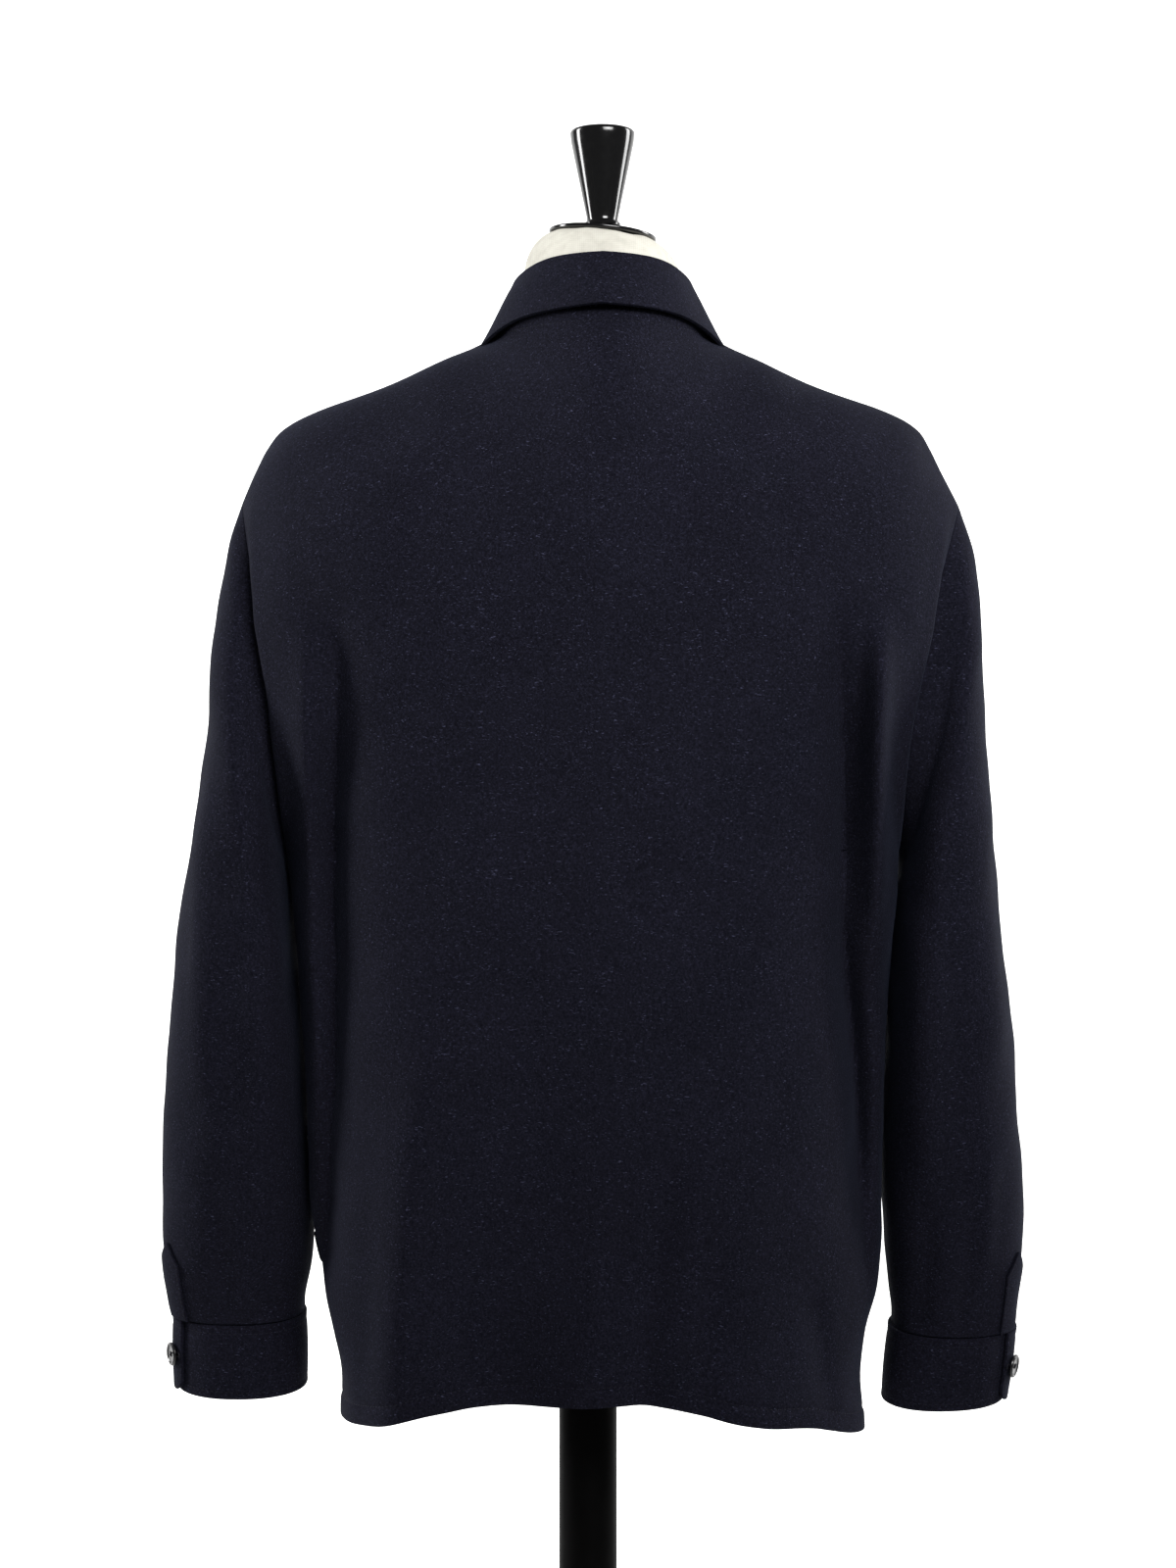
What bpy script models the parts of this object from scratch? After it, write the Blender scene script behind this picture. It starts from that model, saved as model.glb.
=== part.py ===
"""A drop-shoulder wool overshirt, buttoned up and filled out on a limbless dress form with a pole and a round base.

Metres, +Z up. The back of the garment faces -Y, the wearer's right side is at +X, and the origin is the centre of
the base's underside, on the pole's axis. The form stands 10 mm right of the pole, as its neck does.
"""

import math
from collections import namedtuple
from functools import partial

import bmesh
import bpy
from mathutils import Matrix, Vector

for old in list(bpy.data.objects):
    bpy.data.objects.remove(old, do_unlink=True)

# Driving dimensions
CLOTH = 0.0020  # felted wool, one layer
COLLAR_CLOTH = 0.0024  # collar, cuffs: layers pressed together
SEAM = 0.0003  # gap between two pieces that a seam joins
AXIS_X = 0.010  # middle of the form's neck
HEM_Z = 0.680
UNDERARM_Z = 1.055
LAP = 0.018  # how far each front runs past the centre line
LAP_GAP = 0.0008  # between two layers of cloth that lie on each other
LAP_RISE = CLOTH + LAP_GAP  # the left front lies this far out over the right one
BAND_RISE = COLLAR_CLOTH + LAP_GAP  # and so does the end of a cuff or of the collar stand
NECK_HALF = 0.068  # neck seam: half its width, its reach to the back and to the front
NECK_BACK = 0.078
NECK_FRONT = 0.072
NECK_BACK_Z = 1.4120
NECK_SIDE_Z = 1.4080
NECK_FRONT_Z = 1.3620
PULL_REACH = 0.080  # how far from an armhole the cloth gives way to it
BUTTON_CLEAR = 0.0005  # between a button and the cloth it is sewn on

# How finely the cloth is divided
SKIRT_ROWS = 10
ARM_ROWS = 12  # rows from the underarm to the shoulder seam
CHEST_ROW = 7  # of those, the one that the shoulder's curve starts from
SHOULDER_COLUMNS = 12
NECK_COLUMNS = 10
CURVE_STEPS = 80  # points of a curve before the columns are spaced on it

# Horizontal sections of the body, from the hem up: x of its two sides, y of its middle behind and in front
Section = namedtuple("Section", "z left right back front fullness")
SECTIONS = [
    Section(0.640, -0.1700, 0.1915, -0.127, 0.128, 2.7),
    Section(0.680, -0.1695, 0.1900, -0.128, 0.129, 2.7),
    Section(0.710, -0.1700, 0.1875, -0.128, 0.130, 2.7),
    Section(0.740, -0.1755, 0.1905, -0.128, 0.131, 2.7),
    Section(0.770, -0.1830, 0.1985, -0.128, 0.132, 2.7),
    Section(0.810, -0.1906, 0.2030, -0.128, 0.133, 2.7),
    Section(0.900, -0.1951, 0.2047, -0.128, 0.134, 2.7),
    Section(0.970, -0.1986, 0.2062, -0.128, 0.135, 2.7),
    Section(1.055, -0.2062, 0.2136, -0.128, 0.136, 2.6),
    Section(1.130, -0.2130, 0.2200, -0.128, 0.136, 2.5),
    Section(1.210, -0.2220, 0.2290, -0.127, 0.132, 2.4),
]

# Height of the hem, across the back and across the front
HemPoint = namedtuple("HemPoint", "x back front")
HEM = [
    HemPoint(-0.171, 0.670, 0.670),
    HemPoint(-0.100, 0.686, 0.676),
    HemPoint(-0.020, 0.693, 0.682),
    HemPoint(0.050, 0.695, 0.684),
    HemPoint(0.110, 0.681, 0.679),
    HemPoint(0.150, 0.675, 0.672),
    HemPoint(0.192, 0.661, 0.661),
]

# Armhole seams: a tilted oval from the underarm to the top
Armhole = namedtuple("Armhole", "under_x under_z top_x top_z half_depth bow")
ARMHOLE = {
    "left": Armhole(-0.2072, UNDERARM_Z, -0.2387, 1.2960, 0.060, 0.006),
    "right": Armhole(0.2146, UNDERARM_Z, 0.2564, 1.2930, 0.060, -0.012),
}

# Shoulder seams, from the armhole's top to the neck
ShoulderPoint = namedtuple("ShoulderPoint", "x z")
SHOULDER = {
    "left": [
        ShoulderPoint(-0.2387, 1.2960),
        ShoulderPoint(-0.2292, 1.3180),
        ShoulderPoint(-0.2220, 1.3325),
        ShoulderPoint(-0.2105, 1.3460),
        ShoulderPoint(-0.1850, 1.3590),
        ShoulderPoint(-0.1300, 1.3792),
        ShoulderPoint(AXIS_X - NECK_HALF, NECK_SIDE_Z),
    ],
    "right": [
        ShoulderPoint(0.2564, 1.2930),
        ShoulderPoint(0.2440, 1.3180),
        ShoulderPoint(0.2373, 1.3320),
        ShoulderPoint(0.2275, 1.3465),
        ShoulderPoint(0.2040, 1.3588),
        ShoulderPoint(0.1500, 1.3778),
        ShoulderPoint(AXIS_X + NECK_HALF, NECK_SIDE_Z),
    ],
}

# Rings of the sleeves below the armhole: inner edge, outer edge, middle, half the depth, drop of the back side
Ring = namedtuple("Ring", "inner_x inner_z outer_x outer_z mid_y half_depth tip")
SLEEVE = {
    "left": [
        Ring(-0.2082, 1.044, -0.2452, 1.275, 0.000, 0.064, 0.000),
        Ring(-0.2062, 1.030, -0.2503, 1.250, 0.000, 0.070, 0.000),
        Ring(-0.2050, 1.012, -0.2551, 1.221, 0.000, 0.076, 0.000),
        Ring(-0.2035, 0.992, -0.2585, 1.188, 0.001, 0.081, 0.000),
        Ring(-0.2018, 0.972, -0.2607, 1.150, 0.002, 0.084, 0.000),
        Ring(-0.2002, 0.952, -0.2665, 1.110, 0.003, 0.085, 0.000),
        Ring(-0.1985, 0.930, -0.2727, 1.068, 0.004, 0.084, 0.000),
        Ring(-0.1971, 0.908, -0.2793, 1.026, 0.006, 0.081, 0.001),
        Ring(-0.1958, 0.884, -0.2851, 0.982, 0.009, 0.077, 0.002),
        Ring(-0.1947, 0.860, -0.2905, 0.938, 0.012, 0.073, 0.003),
        Ring(-0.1935, 0.834, -0.2942, 0.894, 0.016, 0.068, 0.004),
        Ring(-0.1926, 0.808, -0.2972, 0.850, 0.020, 0.062, 0.005),
        Ring(-0.1936, 0.783, -0.2980, 0.808, 0.024, 0.055, 0.006),
        Ring(-0.1960, 0.760, -0.2970, 0.772, 0.027, 0.048, 0.006),
        Ring(-0.1990, 0.742, -0.2942, 0.746, 0.030, 0.041, 0.006),
        Ring(-0.1995, 0.7305, -0.2918, 0.7305, 0.031, 0.036, 0.005),
    ],
    "right": [
        Ring(0.2158, 1.044, 0.2628, 1.272, 0.000, 0.064, 0.000),
        Ring(0.2138, 1.030, 0.2683, 1.248, 0.000, 0.070, 0.000),
        Ring(0.2124, 1.012, 0.2707, 1.219, 0.000, 0.076, 0.000),
        Ring(0.2108, 0.992, 0.2707, 1.186, 0.001, 0.081, 0.000),
        Ring(0.2092, 0.972, 0.2727, 1.148, 0.002, 0.084, 0.000),
        Ring(0.2077, 0.952, 0.2751, 1.108, 0.003, 0.085, 0.000),
        Ring(0.2070, 0.930, 0.2785, 1.066, 0.004, 0.084, 0.000),
        Ring(0.2064, 0.908, 0.2830, 1.024, 0.006, 0.081, 0.001),
        Ring(0.2060, 0.884, 0.2885, 0.980, 0.009, 0.077, 0.002),
        Ring(0.2056, 0.860, 0.2947, 0.935, 0.012, 0.073, 0.003),
        Ring(0.2054, 0.834, 0.2982, 0.890, 0.016, 0.068, 0.004),
        Ring(0.2058, 0.806, 0.3022, 0.846, 0.020, 0.062, 0.005),
        Ring(0.2078, 0.780, 0.3040, 0.802, 0.024, 0.055, 0.006),
        Ring(0.2110, 0.755, 0.3028, 0.765, 0.027, 0.048, 0.006),
        Ring(0.2138, 0.734, 0.3004, 0.738, 0.030, 0.041, 0.006),
        Ring(0.2138, 0.7215, 0.2988, 0.7215, 0.031, 0.036, 0.005),
    ],
}
# Cuffs, top and bottom ring
CUFF = {
    "left": [
        Ring(-0.1983, 0.7295, -0.2890, 0.7295, 0.031, 0.0365, 0.005),
        Ring(-0.1980, 0.6785, -0.2890, 0.6785, 0.036, 0.0355, 0.006),
    ],
    "right": [
        Ring(0.2115, 0.7205, 0.2985, 0.7205, 0.031, 0.0365, 0.005),
        Ring(0.2070, 0.6680, 0.2930, 0.6705, 0.036, 0.0355, 0.005),
    ],
}
SLEEVE_RINGS = 17
SLEEVE_FULLNESS = 2.3
CUFF_FULLNESS = 2.2
CUFF_END = math.radians(143)  # where the upper end of a cuff stops, measured from its inner side over the back
CUFF_LAP = math.radians(50)
CUFF_STEP = math.radians(20)  # the stretch in which it steps out over its start
CUFF_COLUMNS = 30
CUFF_BUTTON = math.radians(157)

# Collar stand, in degrees from the centre back
STAND_LAP = 22
STAND_END = 180 + STAND_LAP / 2
STAND_STEP = 8  # the stretch in which it steps out over its start
STAND_COLUMNS = 36
STAND_HEIGHT_BACK = 0.031
STAND_HEIGHT_FRONT = 0.025
STAND_LIFT = 0.0004  # over the neck seam
STAND_FRONT_LIFT = 0.0036  # more of it in front, over the buttoned fronts
STAND_IN_LOW = 0.0015  # inside the neck seam, at its lower and upper edge
STAND_IN_TOP = 0.0073

# Collar: the fold at the top and the outer edge, each by its angle from the centre back and its reach from the axis
Leaf = namedtuple("Leaf", "top_angle top_reach top_z edge_angle edge_reach edge_z")
COLLAR = [
    Leaf(0, 0.0735, 1.4560, 0, 0.0965, 1.4190),
    Leaf(30, 0.0700, 1.4542, 33, 0.0885, 1.4160),
    Leaf(60, 0.0645, 1.4485, 57, 0.0815, 1.4135),
    Leaf(90, 0.0616, 1.4430, 78, 0.0816, 1.4100),
    Leaf(115, 0.0622, 1.4350, 96, 0.0858, 1.4060),
    Leaf(140, 0.0643, 1.4210, 120, 0.0950, 1.3930),
    Leaf(158, 0.0680, 1.4080, 143, 0.1110, 1.3640),
    Leaf(172, 0.0705, 1.4010, 157, 0.1220, 1.3370),
]
COLLAR_ROLL = 0.0012  # how far the leaf bows out between its fold and its edge
COLLAR_COLUMNS = 12  # on each side of the centre back

# Binding of a sleeve's slit: its two edges round the sleeve, its place along it from the first ring to the cuff
PLACKET_FROM = math.radians(130)
PLACKET_TO = math.radians(160)
PLACKET_TAPER = math.radians(8)
PLACKET_TOP = 0.835
PLACKET_FOOT = 0.995
PLACKET_THICKNESS = 0.0014
PLACKET_CLEAR = 0.0010

# Large folds: troughs are negative. Each runs down from (x_top, z_top) to (x_low, z_low)
Fold = namedtuple("Fold", "side x_top z_top x_low z_low height half_width")
FOLDS = [
    Fold("back", -0.166, 1.200, -0.166, 0.800, -0.0080, 0.020),
    Fold("back", 0.158, 1.230, 0.188, 0.740, -0.0130, 0.018),
    Fold("back", -0.106, 0.960, -0.130, 0.560, 0.0070, 0.026),
    Fold("back", -0.018, 0.940, -0.036, 0.560, -0.0090, 0.026),
    Fold("back", 0.055, 0.880, 0.034, 0.640, -0.0050, 0.014),
    Fold("back", 0.098, 0.950, 0.118, 0.560, 0.0050, 0.030),
    Fold("front", -0.150, 1.190, -0.160, 0.740, -0.0090, 0.020),
    Fold("front", 0.168, 1.190, 0.178, 0.760, -0.0090, 0.020),
    Fold("front", -0.092, 0.980, -0.112, 0.560, -0.0080, 0.026),
    Fold("front", 0.108, 0.960, 0.126, 0.560, -0.0080, 0.026),
    Fold("front", 0.060, 1.000, 0.070, 0.560, 0.0050, 0.024),
]

FRONT_BUTTONS_Z = [1.312, 1.214, 1.116, 1.018, 0.920, 0.822]

# The form, its knob and its stand
FORM_SHOULDER_CLEAR = 0.0009  # between the form and the cloth, on the shoulders, where the cloth rests
FORM_CHEST_CLEAR = 0.0080
FORM_NECK_CLEAR = 0.0040  # more of it close to the neck
FORM_NECK_IN = 0.06  # share by which the neck's foot is drawn in to its middle
FORM_PLATE = {"left": -0.2010, "right": 0.2200}  # the flat ends where arms would be
FORM_COLUMNS = (7, 10, 7)
FORM_HALF_WIDTH = 0.198
FORM_HALF_DEPTH = 0.124
Waist = namedtuple("Waist", "z across deep")  # shares of the half width and the half depth
WAIST = [
    Waist(0.800, 0.76, 0.86),
    Waist(0.860, 0.78, 0.88),
    Waist(0.950, 0.74, 0.82),
    Waist(1.040, 0.80, 0.88),
    Waist(1.130, 0.90, 0.95),
]
FormNeck = namedtuple("FormNeck", "z radius y roll")
FORM_NECK = [
    FormNeck(1.4130, 0.0590, -0.004, 0),
    FormNeck(1.4240, 0.0565, -0.003, 0),
    FormNeck(1.4400, 0.0560, -0.002, 1),
    FormNeck(1.4540, 0.0555, -0.001, 2),
    FormNeck(1.4640, 0.0525, 0.000, 4),
    FormNeck(1.4730, 0.0460, 0.000, 5),
    FormNeck(1.4790, 0.0370, 0.000, 5),
]
CAP_RADIUS = 0.0375
CAP_HEIGHT = 0.0040
CAP_Z = FORM_NECK[-1].z + SEAM
CAP_ROLL = math.radians(5)
KNOB_Z = 1.4843
# Turned profiles: height above the foot, and radius
Turned = namedtuple("Turned", "height radius")
BUTTON = [Turned(0.0, 0.0066), Turned(0.0011, 0.00825), Turned(0.0022, 0.00825), Turned(0.0030, 0.0071),
          Turned(0.0023, 0.0055)]
KNOB = [Turned(0.0000, 0.0040), Turned(0.0014, 0.0042), Turned(0.0016, 0.0118), Turned(0.0040, 0.0126),
        Turned(0.0062, 0.0109), Turned(0.0237, 0.0139), Turned(0.0373, 0.0170), Turned(0.0509, 0.0201),
        Turned(0.0620, 0.0222), Turned(0.0665, 0.0227), Turned(0.0690, 0.0220), Turned(0.0702, 0.0198)]
POLE_RADIUS = 0.0200
BASE_RADIUS = 0.1600
BASE_HEIGHT = 0.0100
BOSS_RADIUS = 0.0320
BOSS_HEIGHT = 0.0350
EDGE = 0.0020  # bevel of the cap, the base and its boss


def blend(a, b, t):
    return a + (b - a) * t


def ease(t):
    t = min(max(t, 0.0), 1.0)
    return t * t * (3 - 2 * t)


def smooth_row(rows, place):
    """The row of a table at this place, which counts rows from 0, on a curve through them all."""
    last = len(rows) - 1
    i = min(max(int(place), 0), last - 1)
    t = place - i
    near = [rows[min(max(k, 0), last)] for k in (i - 1, i, i + 1, i + 2)]
    values = []
    for a, b, c, d in zip(*near):
        values.append(b + 0.5 * t * (c - a + t * (2 * a - 5 * b + 4 * c - d + t * (3 * (b - c) + d - a))))
    return type(rows[0])(*values)


def row_at(rows, column, value):
    """The row of a table where this column has the value. The column rises down the table."""
    keys = [getattr(row, column) for row in rows]
    i = 0
    while i < len(keys) - 2 and value > keys[i + 1]:
        i += 1
    t = (value - keys[i]) / (keys[i + 1] - keys[i])
    return smooth_row(rows, i + min(max(t, 0.0), 1.0))


def signed_power(value, power):
    return math.copysign(abs(value) ** power, value)


def armhole_point(hand, side, angle):
    """A point of the armhole seam: angle 0 is the underarm and pi the top, over the back (-1) or the front (1)."""
    a = ARMHOLE[hand]
    t = (1 - math.cos(angle)) / 2
    x = blend(a.under_x, a.top_x, t) + a.bow * math.sin(angle) ** 2
    return Vector((x, side * a.half_depth * math.sin(angle), blend(a.under_z, a.top_z, t)))


def neck_point(degrees, grow=0.0, lift=0.0):
    """A point of the neck seam, by its angle from the centre back, negative to the left."""
    angle = math.radians(degrees)
    reach = NECK_BACK if math.cos(angle) > 0 else NECK_FRONT
    height = NECK_BACK_Z if math.cos(angle) > 0 else NECK_FRONT_Z
    z = blend(NECK_SIDE_Z, height, abs(math.cos(angle)) ** 1.6)
    return Vector((AXIS_X + (NECK_HALF + grow) * math.sin(angle), -(reach + grow) * math.cos(angle), z + lift))


def section_curve(side, left, right, section, filled):
    """The body's outline at one height, from the left point to the right point, over the back or the front.

    It is the section's own outline, cut off where the armholes begin, and as filled goes from 0 to 1 it becomes
    a fuller one that rounds out from the armholes themselves.
    """
    mid_y = section.back if side < 0 else section.front
    power = 2 / section.fullness
    first, last = (math.asin(abs(end.y / mid_y) ** (1 / power)) for end in (left, right))
    cut_off = []
    rounded = []
    for k in range(CURVE_STEPS + 1):
        angle = blend(first, math.pi - last, k / CURVE_STEPS)
        across = (1 - signed_power(math.cos(angle), power)) / 2
        cut_off.append(Vector((blend(section.left, section.right, across), mid_y * abs(math.sin(angle)) ** power,
                               blend(left.z, right.z, across))))
        angle = math.pi * k / CURVE_STEPS
        edge = left.lerp(right, (1 - signed_power(math.cos(angle), power)) / 2)
        rounded.append(Vector((edge.x, blend(edge.y, mid_y, abs(math.sin(angle)) ** power), edge.z)))
    pull_edge(cut_off, 0, left)
    pull_edge(cut_off, -1, right)
    return [a.lerp(b, filled) for a, b in zip(cut_off, rounded)]


def along(curve, stops, counts):
    """Points spaced evenly on a curve between stops, which are x values, or None for an end of the curve."""
    places = []
    for stop in stops:
        if stop is None:
            places.append(0.0 if not places else len(curve) - 1.0)
            continue
        k = next(k for k in range(1, len(curve)) if curve[k].x >= stop - 1e-9)
        places.append(k - 1 + (stop - curve[k - 1].x) / max(curve[k].x - curve[k - 1].x, 1e-9))
    lengths = [0.0]
    for a, b in zip(curve, curve[1:]):
        lengths.append(lengths[-1] + (b - a).length)

    def length_at(place):
        k = min(int(place), len(curve) - 2)
        return blend(lengths[k], lengths[k + 1], place - k)

    def point_at(length):
        k = 0
        while k < len(lengths) - 2 and lengths[k + 1] < length:
            k += 1
        step = max(lengths[k + 1] - lengths[k], 1e-12)
        return curve[k].lerp(curve[k + 1], min(max((length - lengths[k]) / step, 0.0), 1.0))

    points = [point_at(length_at(places[0]))]
    for start, end, count in zip(places, places[1:], counts):
        for k in range(1, count + 1):
            points.append(point_at(blend(length_at(start), length_at(end), k / count)))
    return points


def shoulder_curve(side):
    """The top edge of the back or the fronts: shoulder seam, neck seam, shoulder seam."""
    seams = []
    for hand in ("left", "right"):
        rows = SHOULDER[hand]
        points = []
        for k in range(10 * (len(rows) - 1) + 1):
            at = smooth_row(rows, k / 10)
            points.append(Vector((at.x, 0.0, at.z)))
        seams.append(points)
    neck = [neck_point(-90 - side * 6 * k) for k in range(1, 30)]
    return seams[0] + neck + seams[1][::-1]


def hem_height(side, x):
    at = row_at(HEM, "x", x)
    return at.back if side < 0 else at.front


def body_rows(side, stops, counts):
    """The grid of the cloth from the hem to the shoulder, over the back (side -1) or the front (side 1)."""
    grid = []
    for row in range(SKIRT_ROWS + 1):
        t = row / SKIRT_ROWS
        z = blend(HEM_Z, UNDERARM_Z, t)
        s = row_at(SECTIONS, "z", z)
        left = Vector((blend(s.left, ARMHOLE["left"].under_x, t ** 6), 0.0, z))
        right = Vector((blend(s.right, ARMHOLE["right"].under_x, t ** 6), 0.0, z))
        points = along(section_curve(side, left, right, s, 0.0), stops, counts)
        for point in points:
            point.z = blend(hem_height(side, point.x), UNDERARM_Z, t)
        grid.append(points)
    for row in range(1, CHEST_ROW + 1):
        angle = math.pi * row / ARM_ROWS
        left, right = (armhole_point(hand, side, angle) for hand in ("left", "right"))
        s = row_at(SECTIONS, "z", (left.z + right.z) / 2)
        curve = section_curve(side, left, right, s, ease(row / CHEST_ROW))
        grid.append(along(curve, stops, counts))
    chest = grid[-1]
    top = along(shoulder_curve(side), stops, counts)
    for row in range(CHEST_ROW + 1, ARM_ROWS + 1):
        t = (row - CHEST_ROW) / (ARM_ROWS - CHEST_ROW)
        points = over_shoulder(chest, top, t)
        angle = math.pi * row / ARM_ROWS
        for k, hand in ((0, "left"), (-1, "right")):
            if stops[k] is None:
                pull_edge(points, k, armhole_point(hand, side, angle))
        grid.append(points)
    return grid


def over_shoulder(chest, top, t):
    """One row of the curve that rises from the chest and closes over the shoulder, flatter towards the neck."""
    points = []
    for low, high in zip(chest, top):
        to_neck = ease((0.110 - abs(high.x - AXIS_X)) / 0.070)
        end = math.radians(blend(90, 56, to_neck))
        inwards = (1 - math.cos(t * end)) / (1 - math.cos(end))
        upwards = math.sin(t * end) / math.sin(end)
        points.append(Vector((blend(low.x, high.x, inwards), blend(low.y, high.y, inwards),
                              blend(low.z, high.z, upwards))))
    return points


def pull_edge(points, end, target):
    """Moves an edge point of a row to its target, and its neighbours ever less with their distance."""
    start = points[end].copy()
    for point in points:
        away = (point - start).length
        if away < PULL_REACH:
            point += (target - start) * (1 - away / PULL_REACH) ** 2


def ring_point(ring, angle, grow=0.0, fullness=SLEEVE_FULLNESS):
    """A point of a sleeve's ring: angle 0 is its inner side, pi/2 the back, pi the outer side."""
    c, s = signed_power(math.cos(angle), 2 / fullness), signed_power(math.sin(angle), 2 / fullness)
    inner, outer = Vector((ring.inner_x, 0, ring.inner_z)), Vector((ring.outer_x, 0, ring.outer_z))
    half = (outer - inner).length / 2
    point = inner.lerp(outer, (1 - c * (half + grow) / half) / 2)
    return point + Vector((0, ring.mid_y - (ring.half_depth + grow) * s, -ring.tip * s))


def sleeve_angles():
    """Angles round a sleeve, from the top of the armhole over the back to the underarm and up the front."""
    return [math.pi * (1 - k / ARM_ROWS) for k in range(2 * ARM_ROWS)]


def sleeve_surface(hand, angle, t):
    """A point of the sleeve, t from 0 at the first ring below the armhole to 1 at the cuff."""
    rows = SLEEVE[hand]
    return ring_point(smooth_row(rows, t * (len(rows) - 1)), angle)


def sleeve_rows(hand):
    grid = []
    seam = []
    for angle in sleeve_angles():
        side = -1 if angle >= 0 else 1
        seam.append(armhole_point(hand, side, abs(angle)))
    grid.append(seam)
    for k in range(SLEEVE_RINGS + 1):
        grid.append([sleeve_surface(hand, angle, k / SLEEVE_RINGS) for angle in sleeve_angles()])
    return grid


def fold_height(point, side):
    total = 0.0
    for fold in FOLDS:
        if fold.side != side:
            continue
        t = (fold.z_top - point.z) / (fold.z_top - fold.z_low)
        if 0 < t < 1:
            away = (point.x - blend(fold.x_top, fold.x_low, t)) / fold.half_width
            total += fold.height * math.exp(-away * away) * ease(t / 0.35) * ease((1 - t) / 0.25)
    return total


def normals_of(grid, closed, flip):
    """Outward directions at each point of a grid, from its neighbours."""
    rows, columns = len(grid), len(grid[0])
    found = []
    for i in range(rows):
        line = []
        for k in range(columns):
            if closed:
                before, after = grid[i][k - 1], grid[i][(k + 1) % columns]
            else:
                before, after = grid[i][max(k - 1, 0)], grid[i][min(k + 1, columns - 1)]
            below, above = grid[max(i - 1, 0)][k], grid[min(i + 1, rows - 1)][k]
            line.append((after - before).cross(above - below).normalized() * (-1 if flip else 1))
        found.append(line)
    return found


def share_normals(sheets):
    """Gives pieces that meet in a seam one direction there, so that their edges face each other."""
    meeting = {}
    for sheet in sheets:
        for points, normals in zip(sheet["grid"], sheet["normals"]):
            for point, normal in zip(points, normals):
                meeting.setdefault(tuple(round(v, 5) for v in point), []).append(normal)
    for sheet in sheets:
        shared = []
        for points, normals in zip(sheet["grid"], sheet["normals"]):
            line = []
            for point, normal in zip(points, normals):
                together = meeting[tuple(round(v, 5) for v in point)]
                line.append(sum((n for n in together if n.dot(normal) > 0.1), Vector()).normalized())
            shared.append(line)
        sheet["normals"] = shared


def make_material(name, colour, roughness, metallic=0.0):
    material = bpy.data.materials.new(name)
    material.use_nodes = True
    shader = material.node_tree.nodes["Principled BSDF"]
    shader.inputs["Base Color"].default_value = (*colour, 1.0)
    shader.inputs["Roughness"].default_value = roughness
    shader.inputs["Metallic"].default_value = metallic
    material.diffuse_color = (*colour, 1.0)
    return material


WOOL = make_material("navy_felted_wool", (0.013, 0.014, 0.022), 0.95)
HORN = make_material("dark_horn_buttons", (0.015, 0.016, 0.020), 0.35)
COVER = make_material("ivory_form_cover", (0.74, 0.73, 0.68), 0.85)
LACQUER = make_material("black_gloss_lacquer", (0.010, 0.010, 0.011), 0.12)
STEEL = make_material("black_painted_steel", (0.006, 0.006, 0.006), 0.45)


def finish_object(name, mesh_data, material, smooth_angle=50):
    mesh = bpy.data.meshes.new(name)
    bmesh.ops.recalc_face_normals(mesh_data, faces=mesh_data.faces)
    mesh_data.to_mesh(mesh)
    mesh_data.free()
    mesh.materials.append(material)
    mesh.shade_smooth()
    mesh.set_sharp_from_angle(angle=math.radians(smooth_angle))
    placed = bpy.data.objects.new(name, mesh)
    bpy.context.scene.collection.objects.link(placed)
    return placed


def wall(name, grid, normals, thickness, material, closed=False):
    """A sheet of cloth: the grid is its outer side, and the inner side lies one thickness below."""
    rows, columns = len(grid), len(grid[0])
    made = bmesh.new()
    outer = [[made.verts.new(p) for p in line] for line in grid]
    inner = [[made.verts.new(p - n * thickness) for p, n in zip(line, ns)] for line, ns in zip(grid, normals)]
    spans = columns if closed else columns - 1
    for i in range(rows - 1):
        for k in range(spans):
            m = (k + 1) % columns
            made.faces.new((outer[i][k], outer[i][m], outer[i + 1][m], outer[i + 1][k]))
            made.faces.new((inner[i][k], inner[i + 1][k], inner[i + 1][m], inner[i][m]))
    for i in (0, rows - 1):
        for k in range(spans):
            m = (k + 1) % columns
            made.faces.new((outer[i][k], inner[i][k], inner[i][m], outer[i][m]))
    if not closed:
        for k in (0, columns - 1):
            for i in range(rows - 1):
                made.faces.new((outer[i][k], outer[i + 1][k], inner[i + 1][k], inner[i][k]))
    return finish_object(name, made, material)


def draw_back(grid, rows=(), columns=()):
    """Pulls the named edge rows and columns of a sheet in by half a seam gap."""
    for i in rows:
        inside = grid[i + 1] if i == 0 else grid[i - 1]
        for point, other in zip(grid[i], inside):
            point += (other - point).normalized() * SEAM / 2
    for k in columns:
        for line in grid:
            other = line[k + 1] if k == 0 else line[k - 1]
            line[k] += (other - line[k]).normalized() * SEAM / 2


def turned(name, profile, place, material, segments, tilt=None):
    """A turned solid from rows of height and radius."""
    made = bmesh.new()
    rings = []
    for height, radius in profile:
        ring = []
        for k in range(segments):
            angle = 2 * math.pi * k / segments
            ring.append(made.verts.new((radius * math.cos(angle), radius * math.sin(angle), height)))
        rings.append(ring)
    for low, high in zip(rings, rings[1:]):
        for k in range(segments):
            m = (k + 1) % segments
            made.faces.new((low[k], low[m], high[m], high[k]))
    made.faces.new(rings[0][::-1])
    made.faces.new(rings[-1])
    turn = tilt or Matrix.Identity(4)
    bmesh.ops.transform(made, matrix=Matrix.Translation(place) @ turn, verts=made.verts)
    return finish_object(name, made, material, 40)


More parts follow.
